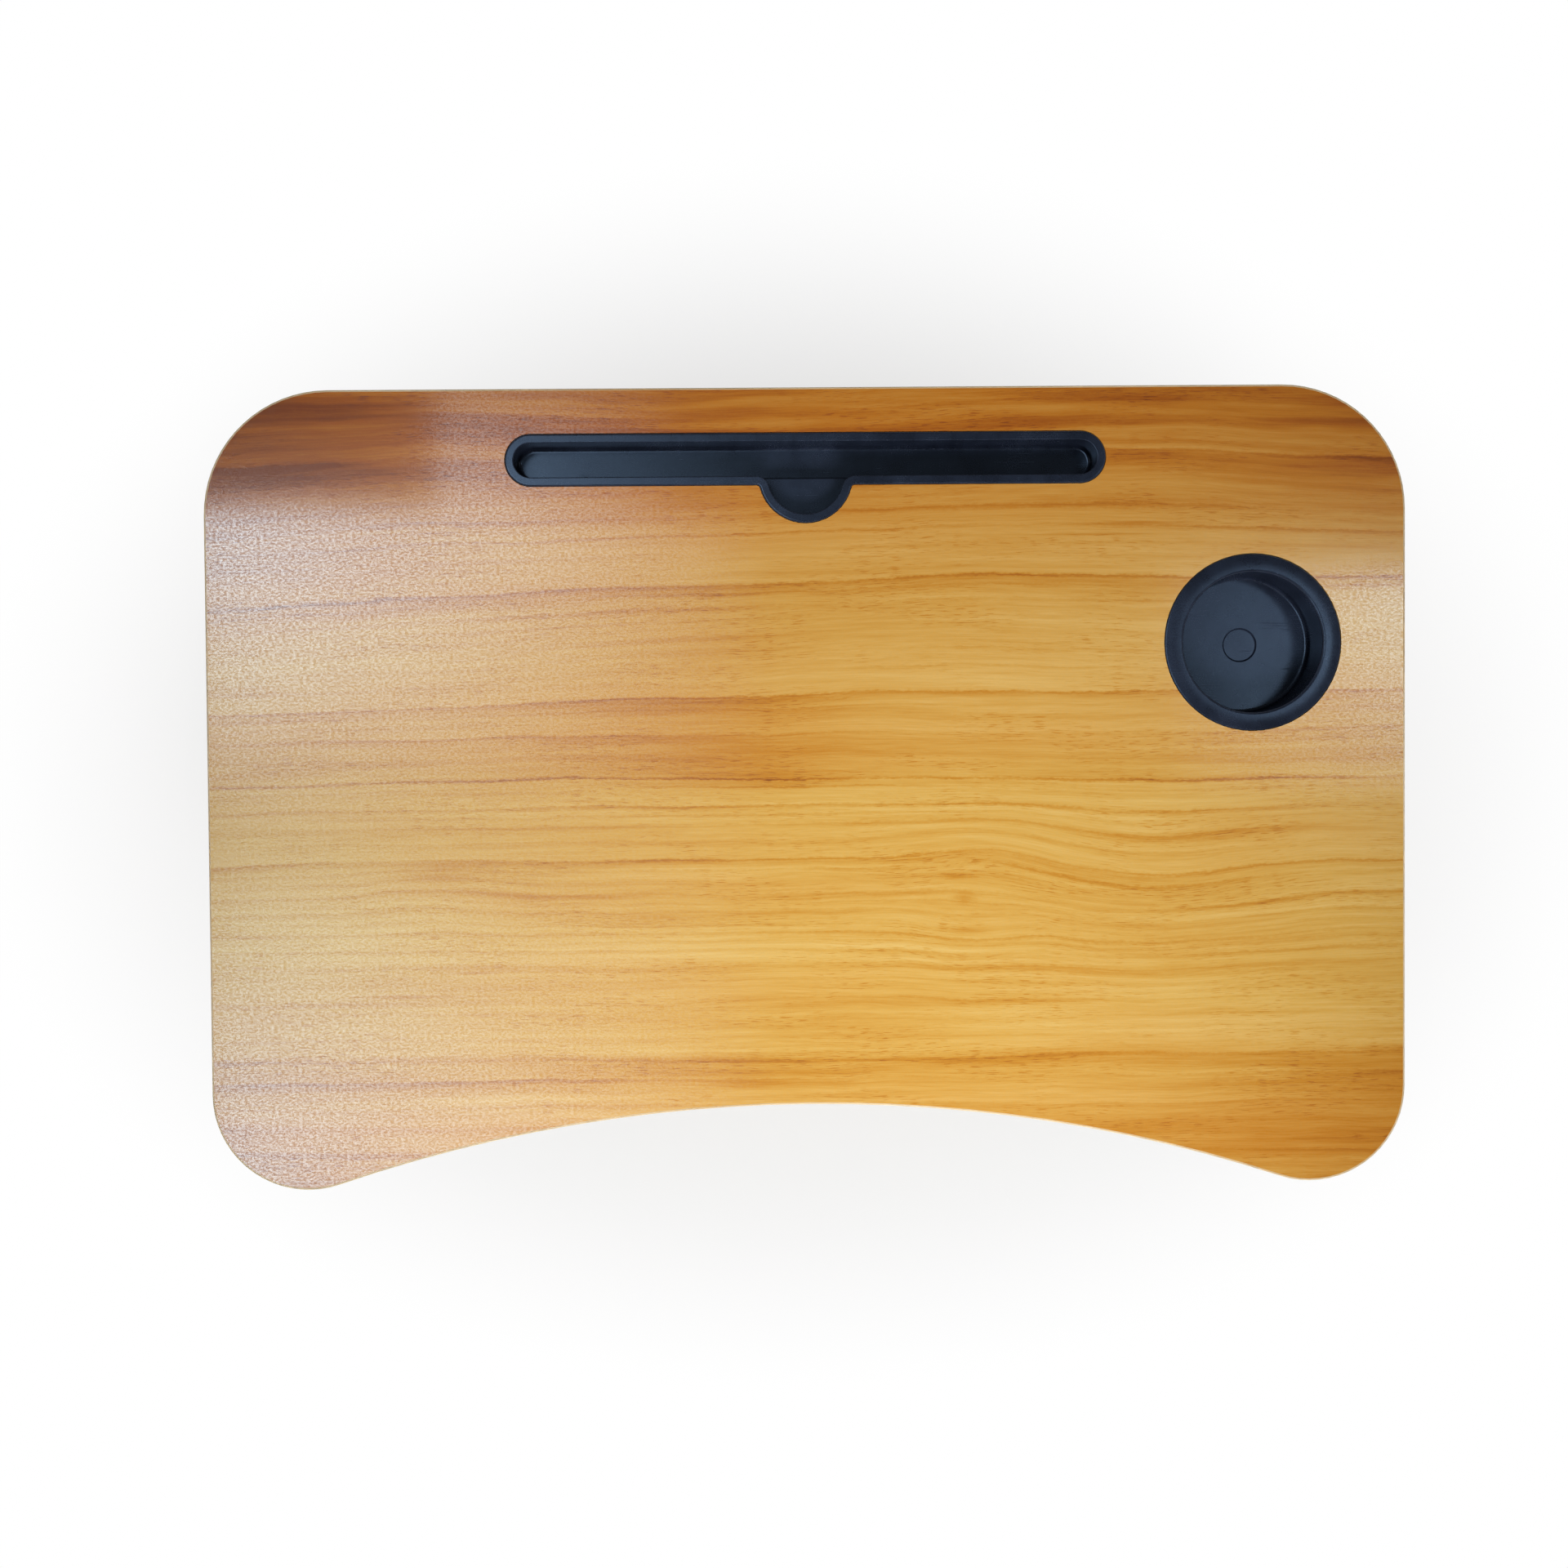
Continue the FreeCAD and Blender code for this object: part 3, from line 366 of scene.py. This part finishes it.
print("floor_bounce", round(bounce.data.energy, 1), "watts")

# %% [markdown]
# ## Wood-grain laminate: the rings
#
# The board's face is a printed decor of honey-coloured wood under a satin seal. A board sawn along a trunk
# shows its growth rings as long lines, so the figure is one pattern across the board, drawn out along it and
# bent where the tree grew round a branch. A noise alone would give the softness but not this board's own
# lines, so the rings are a short list, laid out as ramps, and a few bends push them aside.

# %% Bends in the rings
BENDS = (
    # centre and reach in X and Y, then the push towards the rear: all in millimetres
    (175, -58, 105, 64, -10.0),
    (92, -28, 72, 34, 4.0),
    (80, -74, 42, 24, -5.0),
    (-330, 80, 340, 115, -13.0),
    (170, 12, 190, 55, -4.0),
    (-188, -50, 62, 26, 3.5),
    (150, 150, 130, 60, 3.0),
)
# Noises that push the rings: the size of their spots along and across the rings, and the push, in millimetres
WANDER = ((260, 80, 9.0), (55, 16, 2.6))
FRAY = ((9, 2.4, 1.2), (2.6, 1.2, 1.2))


def nearness(place, centre, reach):
    """1 at a point of the board's face and 0 at its reach, both in millimetres in X and Y."""
    local = place.node(
        "ShaderNodeMapping",
        {"vector_type": "TEXTURE"},
        {
            "Vector": place,
            "Location": (centre[0] / 1000, centre[1] / 1000, TOP),
            "Scale": (reach[0] / 1000, reach[1] / 1000, 1.0),
        },
    )
    distance = local.node("ShaderNodeVectorMath", {"operation": "LENGTH"}, {0: local}, out="Value")
    return span(distance, 1.0, 0.0)


def pushed(across, place, noises):
    """The millimetres across the board after some noises have pushed them."""
    for along, wide, push in noises:
        across = across + (grain(place, (along, wide, wide), detail=1.0, flat=True) - 0.5) * push
    return across


def along_the_rings(place):
    """The face's coordinates with the rings drawn straight, and the millimetres across ragged rings."""
    x = place.node("ShaderNodeSeparateXYZ", inputs={0: place}, out="X")
    y = place.node("ShaderNodeSeparateXYZ", inputs={0: place}, out="Y")
    across = pushed(y * 1000, place, WANDER)
    for x_mm, y_mm, reach_x, reach_y, push in BENDS:
        across = across - nearness(place, (x_mm, y_mm), (reach_x, reach_y)) * push
    straight = place.node("ShaderNodeCombineXYZ", inputs={0: x, 1: across * 0.001, 2: 0.0})
    return straight, pushed(across, place, FRAY)


# %% Rings across the board
RINGS = (
    # place across the board, fade to the rear, fade to the front (mm), darkness
    # The first two are not rings but a broad darkening towards the rear and front edges: partly the wood's
    # tone, partly painted shade.
    (205, 1, 85, 0.53), (-205, 66, 1, 0.15),
    (190, 4, 3, 0.12), (179, 9, 7, 0.24), (164, 2, 13, 0.36), (164, 1.0, 1.2, 0.22), (150, 1, 4, 0.12),
    (136.5, 1.2, 2.4, 0.30), (127, 0.9, 1.3, 0.30), (119, 0.8, 3, 0.13), (102.5, 1.6, 9, 0.36),
    (102.5, 0.9, 0.9, 0.22), (98.5, 0.7, 0.9, 0.22), (92, 0.9, 1.8, 0.18), (86, 0.7, 0.9, 0.13),
    (78, 0.9, 3, 0.12), (69, 0.8, 1.6, 0.10), (60, 0.8, 2.2, 0.11), (48, 1.2, 17, 0.34),
    (48, 0.9, 1.1, 0.22), (42, 0.8, 0.9, 0.12), (29, 2.2, 25, 0.22), (29, 0.8, 0.9, 0.16),
    (5.5, 23, 15, 0.18), (5.5, 1.1, 0.9, 0.46), (1.0, 0.8, 0.9, 0.22), (-9, 1.2, 2.0, 0.42),
    (-13.5, 0.8, 1.0, 0.16), (-19, 1.6, 3.4, 0.28), (-26, 0.8, 2.4, 0.12), (-35.5, 1.4, 6, 0.36),
    (-35.5, 0.9, 1.0, 0.22), (-41, 1.2, 2.2, 0.38), (-44, 2.0, 9, 0.16), (-53, 1.6, 3.2, 0.30),
    (-57, 0.7, 0.9, 0.14), (-61, 1.2, 4, 0.22), (-67, 0.8, 2, 0.13), (-72, 1.2, 1.8, 0.28),
    (-76, 0.8, 2, 0.12), (-81, 1.0, 2.6, 0.23), (-89, 2.2, 5, 0.24), (-97, 1.0, 3, 0.07),
    (-107, 1.4, 4, 0.15), (-116, 1.0, 4, 0.07), (-125, 1.0, 3, 0.09), (-136, 5, 14, 0.32),
    (-136, 0.9, 1.1, 0.16), (-146, 1.0, 9, 0.24), (-146, 0.9, 1.2, 0.12), (-159, 0.8, 3, 0.16),
    (-170, 1, 6, 0.18), (-183, 1, 5, 0.14),
)
STOPS_IN_A_RAMP = 28


def darkness(at):
    """How dark the rings together are at a place across the board."""
    total = 0.0
    for place, rear, front, dark in RINGS:
        total += dark * max(0.0, 1 - abs(at - place) / (rear if at > place else front))
    return total


def ring_pattern(across):
    """The rings as ramps, laid end to end because one ramp holds only 32 stops."""
    marks = sorted({mark for ring in RINGS for mark in (ring[0] - ring[2], ring[0], ring[0] + ring[1])})
    pattern, doubled = 0.0, 0.0
    for first in range(0, len(marks) - 1, STOPS_IN_A_RAMP):
        part = marks[first : first + STOPS_IN_A_RAMP + 1]
        low, high = part[0], part[-1]
        stops = [((mark - low) / (high - low), darkness(mark)) for mark in part]
        limits = {"Value": across, "From Min": low, "From Max": high}
        ramp = across.node("ShaderNodeMapRange", inputs=limits)
        pattern = ramp.node("ShaderNodeValToRGB", {"stops": stops}, {"Fac": ramp}) + pattern
        doubled += darkness(low) if first else 0.0
    print(len(RINGS), "rings on", len(marks), "marks")
    return pattern - doubled


# %% [markdown]
# ## Wood-grain laminate: fibres, pores and seal
#
# Between the rings the wood has hair-fine fibres and short dark pores, all drawn out along the rings. Over
# the print lies a satin seal with a fine grain of its own, which breaks a reflection into a soft sparkle.
# The fibres are noise stretched about thirty times, and the pores are a shorter noise cut off high up. The
# knots, the short streaks and the broad shades are soft ellipses, because noise would put them anywhere. The
# broad shades are partly painted shade: they darken the corners and even out the key lamp's pool.

# %% Wood-grain laminate
WOOD_STOPS = (
    (0.00, paint(231, 195, 116)),
    (0.25, paint(220, 174, 86)),
    (0.48, paint(207, 148, 54)),
    (0.72, paint(183, 117, 40)),
    (1.00, paint(143, 83, 30)),
)
# The redder wood is also much darker. Towards the rear and the front edge this is partly painted shade.
RUDDY = (0.92, 0.64, 0.42, 1.0)  # share of each colour that the redder heartwood keeps
RED_ZONES = (
    # millimetres across the board where the redder wood starts and where it is full, and its share there
    (-10, 40, 0.24),
    (70, 185, 0.55),
    (-120, -185, 0.38),
)
CLEAR_WOOD = 0.20  # place on the colour ramp
SHARES = {"rings": 0.78, "broad": 0.42, "streaks": 0.34, "fibres": 0.34, "pores": 0.26, "speckle": 0.16}
MARKS_AND_PAINTED_SHADE = (
    # centre and reach in X and Y (mm), darkness: knots first, then streaks, then broad shades, which are
    # partly painted shade
    (78, -55.5, 9, 6.0, 0.17),
    (74, -44.5, 13, 2.6, 0.20),
    (79, -71.5, 18, 4.5, 0.15),
    (-186, -43, 32, 5.5, 0.15),
    (-181, -38, 34, 1.3, 0.22),
    (-237, -47, 30, 1.1, 0.20),
    (-240, -58.5, 36, 1.1, 0.24),
    (-168, -91.5, 16, 1.1, 0.22),
    (-206, -103, 38, 1.5, 0.22),
    (150, 126, 50, 1.2, 0.26),
    (165, 131.5, 44, 1.5, 0.24),
    # Broad shades: darker towards the corners and lighter at the left, partly the wood's own tone and partly
    # painted shade.
    (-270, -45, 150, 85, -0.19),
    (-320, 150, 210, 130, 0.45),
    (-320, -190, 190, 110, 0.34),
    (310, 175, 120, 75, 0.17),
    (310, -165, 150, 60, 0.18),
    # Painted light and shade: lighter where the key lamp falls off at the right edge, darker in its bright
    # pool at the front of the middle.
    (300, -40, 90, 60, -0.06),
    (10, -125, 160, 48, 0.06),
)


def wood_laminate():
    material, shader, place = finish("satin_wood")
    straight, across = along_the_rings(place)
    shown = span(grain(straight, (190, 9, 9), flat=True), 0.30, 0.68, 0.35, 1.15)
    broad = grain(straight, (420, 34, 34), detail=2.0, flat=True)
    streaks = grain(straight, (130, 3.2, 3.2), detail=2.0, flat=True)
    fibres = grain(straight, (22, 0.65, 0.65), detail=3.0, rough=0.65, flat=True)
    patches = span(grain(place, (70, 16, 16), flat=True), 0.40, 0.64)
    pores = span(grain(straight, (8, 0.5, 0.5), detail=1.0, flat=True), 0.59, 0.71) * patches
    tone = CLEAR_WOOD + ring_pattern(across) * shown * SHARES["rings"] + (broad - 0.5) * SHARES["broad"]
    speckle = grain(place, (1.7, 0.9, 0.9), detail=2.0, rough=0.7, flat=True)
    tone = tone + (streaks - 0.5) * SHARES["streaks"] + (fibres - 0.5) * SHARES["fibres"]
    tone = tone + pores * SHARES["pores"] + (speckle - 0.5) * SHARES["speckle"]
    # Knots and streaks darken the tone; the broad entries paint shade and light into it.
    for x_mm, y_mm, reach_x, reach_y, dark in MARKS_AND_PAINTED_SHADE:
        tone = tone + nearness(place, (x_mm, y_mm), (reach_x, reach_y)) * dark
    wood = tone.node("ShaderNodeValToRGB", {"stops": WOOD_STOPS}, {"Fac": tone})
    ruddy = span(grain(straight, (360, 60, 60), flat=True), 0.40, 0.75, 0.0, 0.22)
    # Redder and darker towards the rear and the front edge: partly the wood's tone, partly painted shade.
    for none, full, share in RED_ZONES:
        ruddy = ruddy + span(across, none, full, 0.0, share)
    seal = 0.20 + (speckle - 0.5) * 0.14 + pores * 0.10
    return coat(
        material,
        shader,
        {
            "Base Color": blend(ruddy, wood, RUDDY, "MULTIPLY"),
            "Roughness": seal,
            "Normal": relief(speckle - pores * 0.6, 0.034),
            "Coat Weight": span(speckle, 0.66, 0.34, 0.25, 0.86),
            "Coat Roughness": 0.10,
            "Coat IOR": 1.8,
            "Specular IOR Level": 0.2,
        },
    )


# %% [markdown]
# ## Edge strip, core and backing
#
# The cut edge of the board is closed with a thin plastic strip, paler than the face, whose printed grain runs
# round the board. Under the laminate lies fibreboard, and the underside has a plain pale sheet that keeps the
# board from warping. Noise squeezed in height alone gives lines that follow the edge round every corner.

# %% Edge strip, core and backing


def edge_strip():
    material, shader, place = finish("edge_strip")
    lines = grain(place, (120, 120, 1.1), detail=3.0, rough=0.6)
    drift = grain(place, 45, detail=1.0)
    specks = grain(place, 0.5, detail=1.0)
    tone = lines * 0.75 + drift * 0.25
    stops = ((0.25, paint(233, 214, 180)), (0.5, paint(223, 199, 158)), (0.75, paint(203, 172, 124)))
    return coat(
        material,
        shader,
        {
            "Base Color": tone.node("ShaderNodeValToRGB", {"stops": stops}, {"Fac": tone}),
            "Roughness": 0.40 + (specks - 0.5) * 0.16,
            "Normal": relief(specks * 0.5 + lines * 0.5, 0.02),
        },
    )


def fibreboard():
    material, shader, place = finish("fibreboard")
    fibres = grain(place, (2.6, 2.6, 0.5), detail=4.0, rough=0.7)
    clumps = grain(place, 6, detail=2.0)
    tone = fibres * 0.7 + clumps * 0.3
    stops = ((0.3, paint(126, 96, 62)), (0.5, paint(163, 130, 90)), (0.7, paint(190, 160, 118)))
    return coat(
        material,
        shader,
        {
            "Base Color": tone.node("ShaderNodeValToRGB", {"stops": stops}, {"Fac": tone}),
            "Roughness": 0.82 + (fibres - 0.5) * 0.2,
            "Normal": relief(fibres, 0.12),
        },
    )


def backing_paper():
    material, shader, place = finish("backing_paper")
    fibres = grain(place, (30, 1.6, 1.6), detail=3.0, rough=0.6)
    clouds = grain(place, 70, detail=2.0)
    specks = span(grain(place, (2.2, 0.9, 0.9), detail=1.0), 0.66, 0.74)
    tone = fibres * 0.6 + clouds * 0.4
    stops = ((0.3, paint(222, 212, 194)), (0.5, paint(229, 221, 205)), (0.7, paint(234, 228, 214)))
    sheet = tone.node("ShaderNodeValToRGB", {"stops": stops}, {"Fac": tone})
    return coat(
        material,
        shader,
        {
            "Base Color": blend(specks * 0.35, sheet, paint(190, 174, 146)),
            "Roughness": 0.58 + (fibres - 0.5) * 0.2,
            "Normal": relief(fibres, 0.03),
        },
    )


# %% [markdown]
# ## Moulded plastics and rubber
#
# The tray and the cup holder are moulded in a charcoal plastic whose mould was lightly etched, so it has a
# soft and bluish shine. The hinges and clips are a duller nylon, and the sleeves on the feet are matte
# rubber. One recipe with a grain size, a depth and two colours serves all three, with clouds that change the
# shine by a little as handling does.

# %% Moulded plastics and rubber


def moulded(name, dark, light, shine, etch, depth, rub=0.0, gloss=0.5, tint=WHITE):
    """A moulded finish: two near colours, a roughness, an etch of that size and depth (mm), scuffs, gloss."""
    material, shader, place = finish(name)
    pits = grain(place, etch, detail=2.0, rough=0.6)
    clouds = grain(place, 24, detail=3.0)
    flow = grain(place, (7, 7, 40), detail=2.0)
    scuffs = span(grain(place, (26, 0.7, 3.0), detail=1.0), 0.66, 0.72) * span(clouds, 0.5, 0.7)
    tone = clouds * 0.5 + flow * 0.25 + pits * 0.25
    return coat(
        material,
        shader,
        {
            "Base Color": blend(span(tone, 0.36, 0.64), dark, light),
            "Roughness": shine + (clouds - 0.5) * 0.14 + (pits - 0.5) * 0.10 + scuffs * rub,
            "Specular IOR Level": gloss,
            "Specular Tint": tint,
            "Normal": relief(pits, depth),
        },
    )


BLUISH = (0.62, 0.74, 1.0, 1.0)  # tint of the tray's and the cup holder's shine


def insert_plastic():
    dark, light = paint(23, 28, 41), paint(35, 42, 58)
    return moulded(
        "moulded_charcoal", dark, light, 0.25, etch=0.5, depth=0.008, rub=0.12, gloss=0.75, tint=BLUISH
    )


def nylon():
    dark, light = paint(26, 26, 28), paint(38, 38, 41)
    return moulded("moulded_nylon", dark, light, 0.50, etch=0.6, depth=0.03, rub=0.10)


def sleeve_rubber():
    dark, light = paint(22, 22, 23), paint(36, 36, 37)
    return moulded("moulded_rubber", dark, light, 0.72, etch=0.9, depth=0.05)


# %% [markdown]
# ## Metals
#
# The legs are steel tube with a black powder coat, whose melted grains leave a fine orange peel. The pins,
# nuts, rivets and screws are zinc plated: bright, a little blue, and mottled where the plating grew in
# crystals. A metal needs little colour. What the eye reads is its roughness, so most of the noise goes there.

# %% Metals
CRYSTALS = 620.0  # across a metre


def powder_coat():
    material, shader, place = finish("black_powder")
    peel = grain(place, 1.1, detail=2.0)
    dust = span(grain(place, 0.35, detail=0.0), 0.64, 0.74)
    clouds = grain(place, 40, detail=2.0)
    black = blend(span(clouds, 0.35, 0.65), paint(28, 28, 30), paint(38, 38, 41))
    return coat(
        material,
        shader,
        {
            "Base Color": blend(dust * 0.5, black, paint(62, 62, 66)),
            "Roughness": 0.38 + (peel - 0.5) * 0.16 + (clouds - 0.5) * 0.10,
            "Normal": relief(peel, 0.03),
        },
    )


def zinc():
    material, shader, place = finish("zinc_plate")
    crystals = place.node("ShaderNodeTexVoronoi", inputs={"Vector": place, "Scale": CRYSTALS}, out="Color")
    facets = crystals.node("ShaderNodeSeparateColor", inputs={0: crystals}, out="Red")
    haze = grain(place, 5, detail=3.0)
    scratches = grain(place, (0.25, 4, 4), detail=2.0)
    tone = facets * 0.3 + haze * 0.7
    plated = blend(span(tone, 0.3, 0.7), paint(172, 176, 182), paint(206, 207, 204))
    return coat(
        material,
        shader,
        {
            "Base Color": plated,
            "Metallic": 1.0,
            "Roughness": 0.24 + facets * 0.08 + (haze - 0.5) * 0.22 + (scratches - 0.5) * 0.10,
            "Normal": relief(scratches, 0.006),
        },
    )


# %% [markdown]
# ## Finishes on the CAD pieces
#
# The record names a material slot for every CAD piece, so the finishes can be handed out by slot in one loop.
# The CAD shapes themselves are already right, and stay as they are.

# %% Hand out the finishes
FINISHES = {
    "wood_laminate": wood_laminate(),
    "mdf": fibreboard(),
    "backing": backing_paper(),
    "edge_pvc": edge_strip(),
    "insert_plastic": insert_plastic(),
    "nylon": nylon(),
    "powder_coat": powder_coat(),
    "zinc": zinc(),
    "sleeve_rubber": sleeve_rubber(),
}
for piece in frame["record"]["subparts"]:
    frame["nodes"][piece["node"]].material_slots[0].material = FINISHES[piece["material_slot"]]

# %% [markdown]
# ## Screws
#
# Four screws hold each hinge and two hold each clip: round heads with a cross recess, turned as chance left
# them. Twenty copies by hand would have to be redone for every change, so a Geometry Nodes tree turns one
# screw from rings of cones, cuts its cross, and sets a copy on every point with its own turn. At the end the
# copies are made real and become one plain mesh.

# %% Screw tree
SCREW_SIZES = {
    "Head Radius": 0.0036,
    "Head Height": 0.0024,
    "Head Edge": 0.0008,
    "Shank Radius": 0.00175,
    "Shank Length": 0.0110,
    "Point Length": 0.0020,
    "Cross Length": 0.0040,
    "Cross Width": 0.0009,
    "Cross Depth": 0.0012,
}
DOME_STEPS = 5
SIDES = 28
SAME_POINT = 1e-6  # metres
SHARP_EDGE = math.radians(35)


def turned_screw(start, size):
    """One screw, head up and seated at height 0, as a stack of open cones from its point to its crest."""
    dome = size["Head Height"] - size["Head Edge"]
    outline = [
        (0.0, 0.0 - size["Shank Length"]),
        (size["Shank Radius"], size["Point Length"] - size["Shank Length"]),
        (size["Shank Radius"], 0.0),
        (size["Head Radius"], 0.0),
    ]
    for step in range(DOME_STEPS + 1):
        angle = math.pi / 2 * step / DOME_STEPS
        width = size["Head Radius"] * math.cos(angle) if step < DOME_STEPS else 0.0
        outline.append((width, size["Head Edge"] + dome * math.sin(angle)))
    rings = []
    for (low_r, low), (high_r, high) in zip(outline, outline[1:]):
        sizes = {"Vertices": SIDES, "Radius Bottom": low_r, "Radius Top": high_r, "Depth": high - low}
        cone = start.node("GeometryNodeMeshCone", {"fill_type": "NONE"}, sizes, out="Mesh")
        lift = start.node("ShaderNodeCombineXYZ", inputs={"Z": low})
        moved = {"Geometry": cone, "Translation": lift}
        rings.append(start.node("GeometryNodeTransform", inputs=moved))
    stack = start.node("GeometryNodeJoinGeometry", inputs={"Geometry": rings})
    return start.node("GeometryNodeMergeByDistance", inputs={"Geometry": stack, "Distance": SAME_POINT})


def cut_cross(start, size, screw):
    """The screw with a cross-shaped recess in its head."""
    deep = size["Cross Depth"] * 2
    lift = start.node("ShaderNodeCombineXYZ", inputs={"Z": size["Head Height"]})
    for sides in (("Cross Length", "Cross Width"), ("Cross Width", "Cross Length")):
        box = start.node("ShaderNodeCombineXYZ", inputs={0: size[sides[0]], 1: size[sides[1]], 2: deep})
        cube = start.node("GeometryNodeMeshCube", inputs={"Size": box}, out="Mesh")
        bar = start.node("GeometryNodeTransform", inputs={"Geometry": cube, "Translation": lift})
        cut = {"operation": "DIFFERENCE", "solver": "EXACT"}
        screw = start.node("GeometryNodeMeshBoolean", cut, {"Mesh 1": screw, "Mesh 2": bar}, out="Mesh")
    return screw


def screw_tree():
    tree = bpy.data.node_groups.new("screws_on_points", "GeometryNodeTree")
    tree.interface.new_socket("Geometry", in_out="OUTPUT", socket_type="NodeSocketGeometry")
    kinds = {"Points": "Geometry", **dict.fromkeys(SCREW_SIZES, "Float"), "Seed": "Int", "Finish": "Material"}
    for name, kind in kinds.items():
        tree.interface.new_socket(name, in_out="INPUT", socket_type="NodeSocket" + kind)
    start = Wire(tree)
    size = {name: start.node("NodeGroupInput", out=name) for name in kinds}
    screw = cut_cross(start, size, turned_screw(start, size))
    edges = start.node("GeometryNodeInputMeshEdgeAngle", out="Unsigned Angle")
    sharp = edges.node("FunctionNodeCompare", {"data_type": "FLOAT"}, {0: edges, 1: SHARP_EDGE})
    screw = start.node("GeometryNodeSetShadeSmooth", inputs={"Geometry": screw, "Shade Smooth": True})
    crisp = {"Geometry": screw, "Selection": sharp, "Shade Smooth": False}
    screw = start.node("GeometryNodeSetShadeSmooth", {"domain": "EDGE"}, crisp)
    over = {"Geometry": screw, "Rotation": (math.pi, 0.0, 0.0)}
    screw = start.node("GeometryNodeTransform", inputs=over)
    chance = {"Min": 0.0, "Max": math.tau, "Seed": size["Seed"]}
    chance = start.node("FunctionNodeRandomValue", {"data_type": "FLOAT"}, chance, out="Value")
    turn = start.node("ShaderNodeCombineXYZ", inputs={"Z": chance})
    turn = start.node("FunctionNodeEulerToRotation", inputs={0: turn})
    copies = {"Points": size["Points"], "Instance": screw, "Rotation": turn}
    copies = start.node("GeometryNodeInstanceOnPoints", inputs=copies)
    real = start.node("GeometryNodeRealizeInstances", inputs={"Geometry": copies})
    done = start.node("GeometryNodeSetMaterial", inputs={"Geometry": real, "Material": size["Finish"]})
    start.node("NodeGroupOutput", inputs={"Geometry": done})
    return tree


# %% [markdown]
# ## Where the screws sit
#
# A screw's place follows from the piece that it holds: the bracket's plate or the clip's base, whose box the
# frame gives. The seat is the lower face of that plate. The modifier's inputs are set by the identifier of
# each socket, and the evaluated object then gives one plain mesh that replaces the CAD screws.

# %% Set the screws
BRACKET_HOLES = ((-0.0225, -0.018), (-0.0225, 0.018), (0.0165, -0.018), (0.0165, 0.018))
CLIP_HOLES = ((0.0, -0.018), (0.0, 0.018))
BRACKET_PLATE = 0.004
CLIP_PLATE = 0.003
IN_THE_BOARD = 0.008  # of a screw's length
PIN_FROM_SIDE = 0.038


def screws(name, node, seats, length, seed):
    points = bpy.data.objects.new(name, bpy.data.meshes.new(name))
    points.data.from_pydata(seats, [], [])
    bpy.context.scene.collection.objects.link(points)
    tree = bpy.data.node_groups.get("screws_on_points") or screw_tree()
    setting = {**SCREW_SIZES, "Shank Length": length, "Seed": seed, "Finish": FINISHES["zinc"]}
    modifier = points.modifiers.new("screws", "NODES")
    modifier.node_group = tree
    for item in tree.interface.items_tree:
        if item.in_out == "INPUT" and item.name in setting:
            modifier[item.identifier] = setting[item.name]
    made = points.evaluated_get(bpy.context.evaluated_depsgraph_get())
    mesh = bpy.data.meshes.new_from_object(made)
    points.modifiers.clear()
    points.data = mesh
    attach(points, "tabletop")
    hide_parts(node)
    print(name, len(seats), "screws,", len(mesh.polygons), "faces")


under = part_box("backing_sheet")[0].z
bracket_seats, clip_seats = [], []
for side, sign in (("left", -1), ("right", 1)):
    low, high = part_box(f"{side}_leg_clip")
    middle = (low + high) / 2
    clip_seats += [(middle.x + sign * x, middle.y + y, under - CLIP_PLATE) for x, y in CLIP_HOLES]
    for row in ("front", "rear"):
        low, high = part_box(f"{side}_{row}_bracket")
        pin_x = sign * (cad_box[1].x - PIN_FROM_SIDE)
        middle_y = (low.y + high.y) / 2
        bracket_seats += [(pin_x + sign * x, middle_y + y, under - BRACKET_PLATE) for x, y in BRACKET_HOLES]
screws("bracket_screw_set", "bracket_screws", bracket_seats, BRACKET_PLATE + IN_THE_BOARD, seed=11)
screws("clip_screw_set", "clip_screws", clip_seats, CLIP_PLATE + IN_THE_BOARD, seed=12)
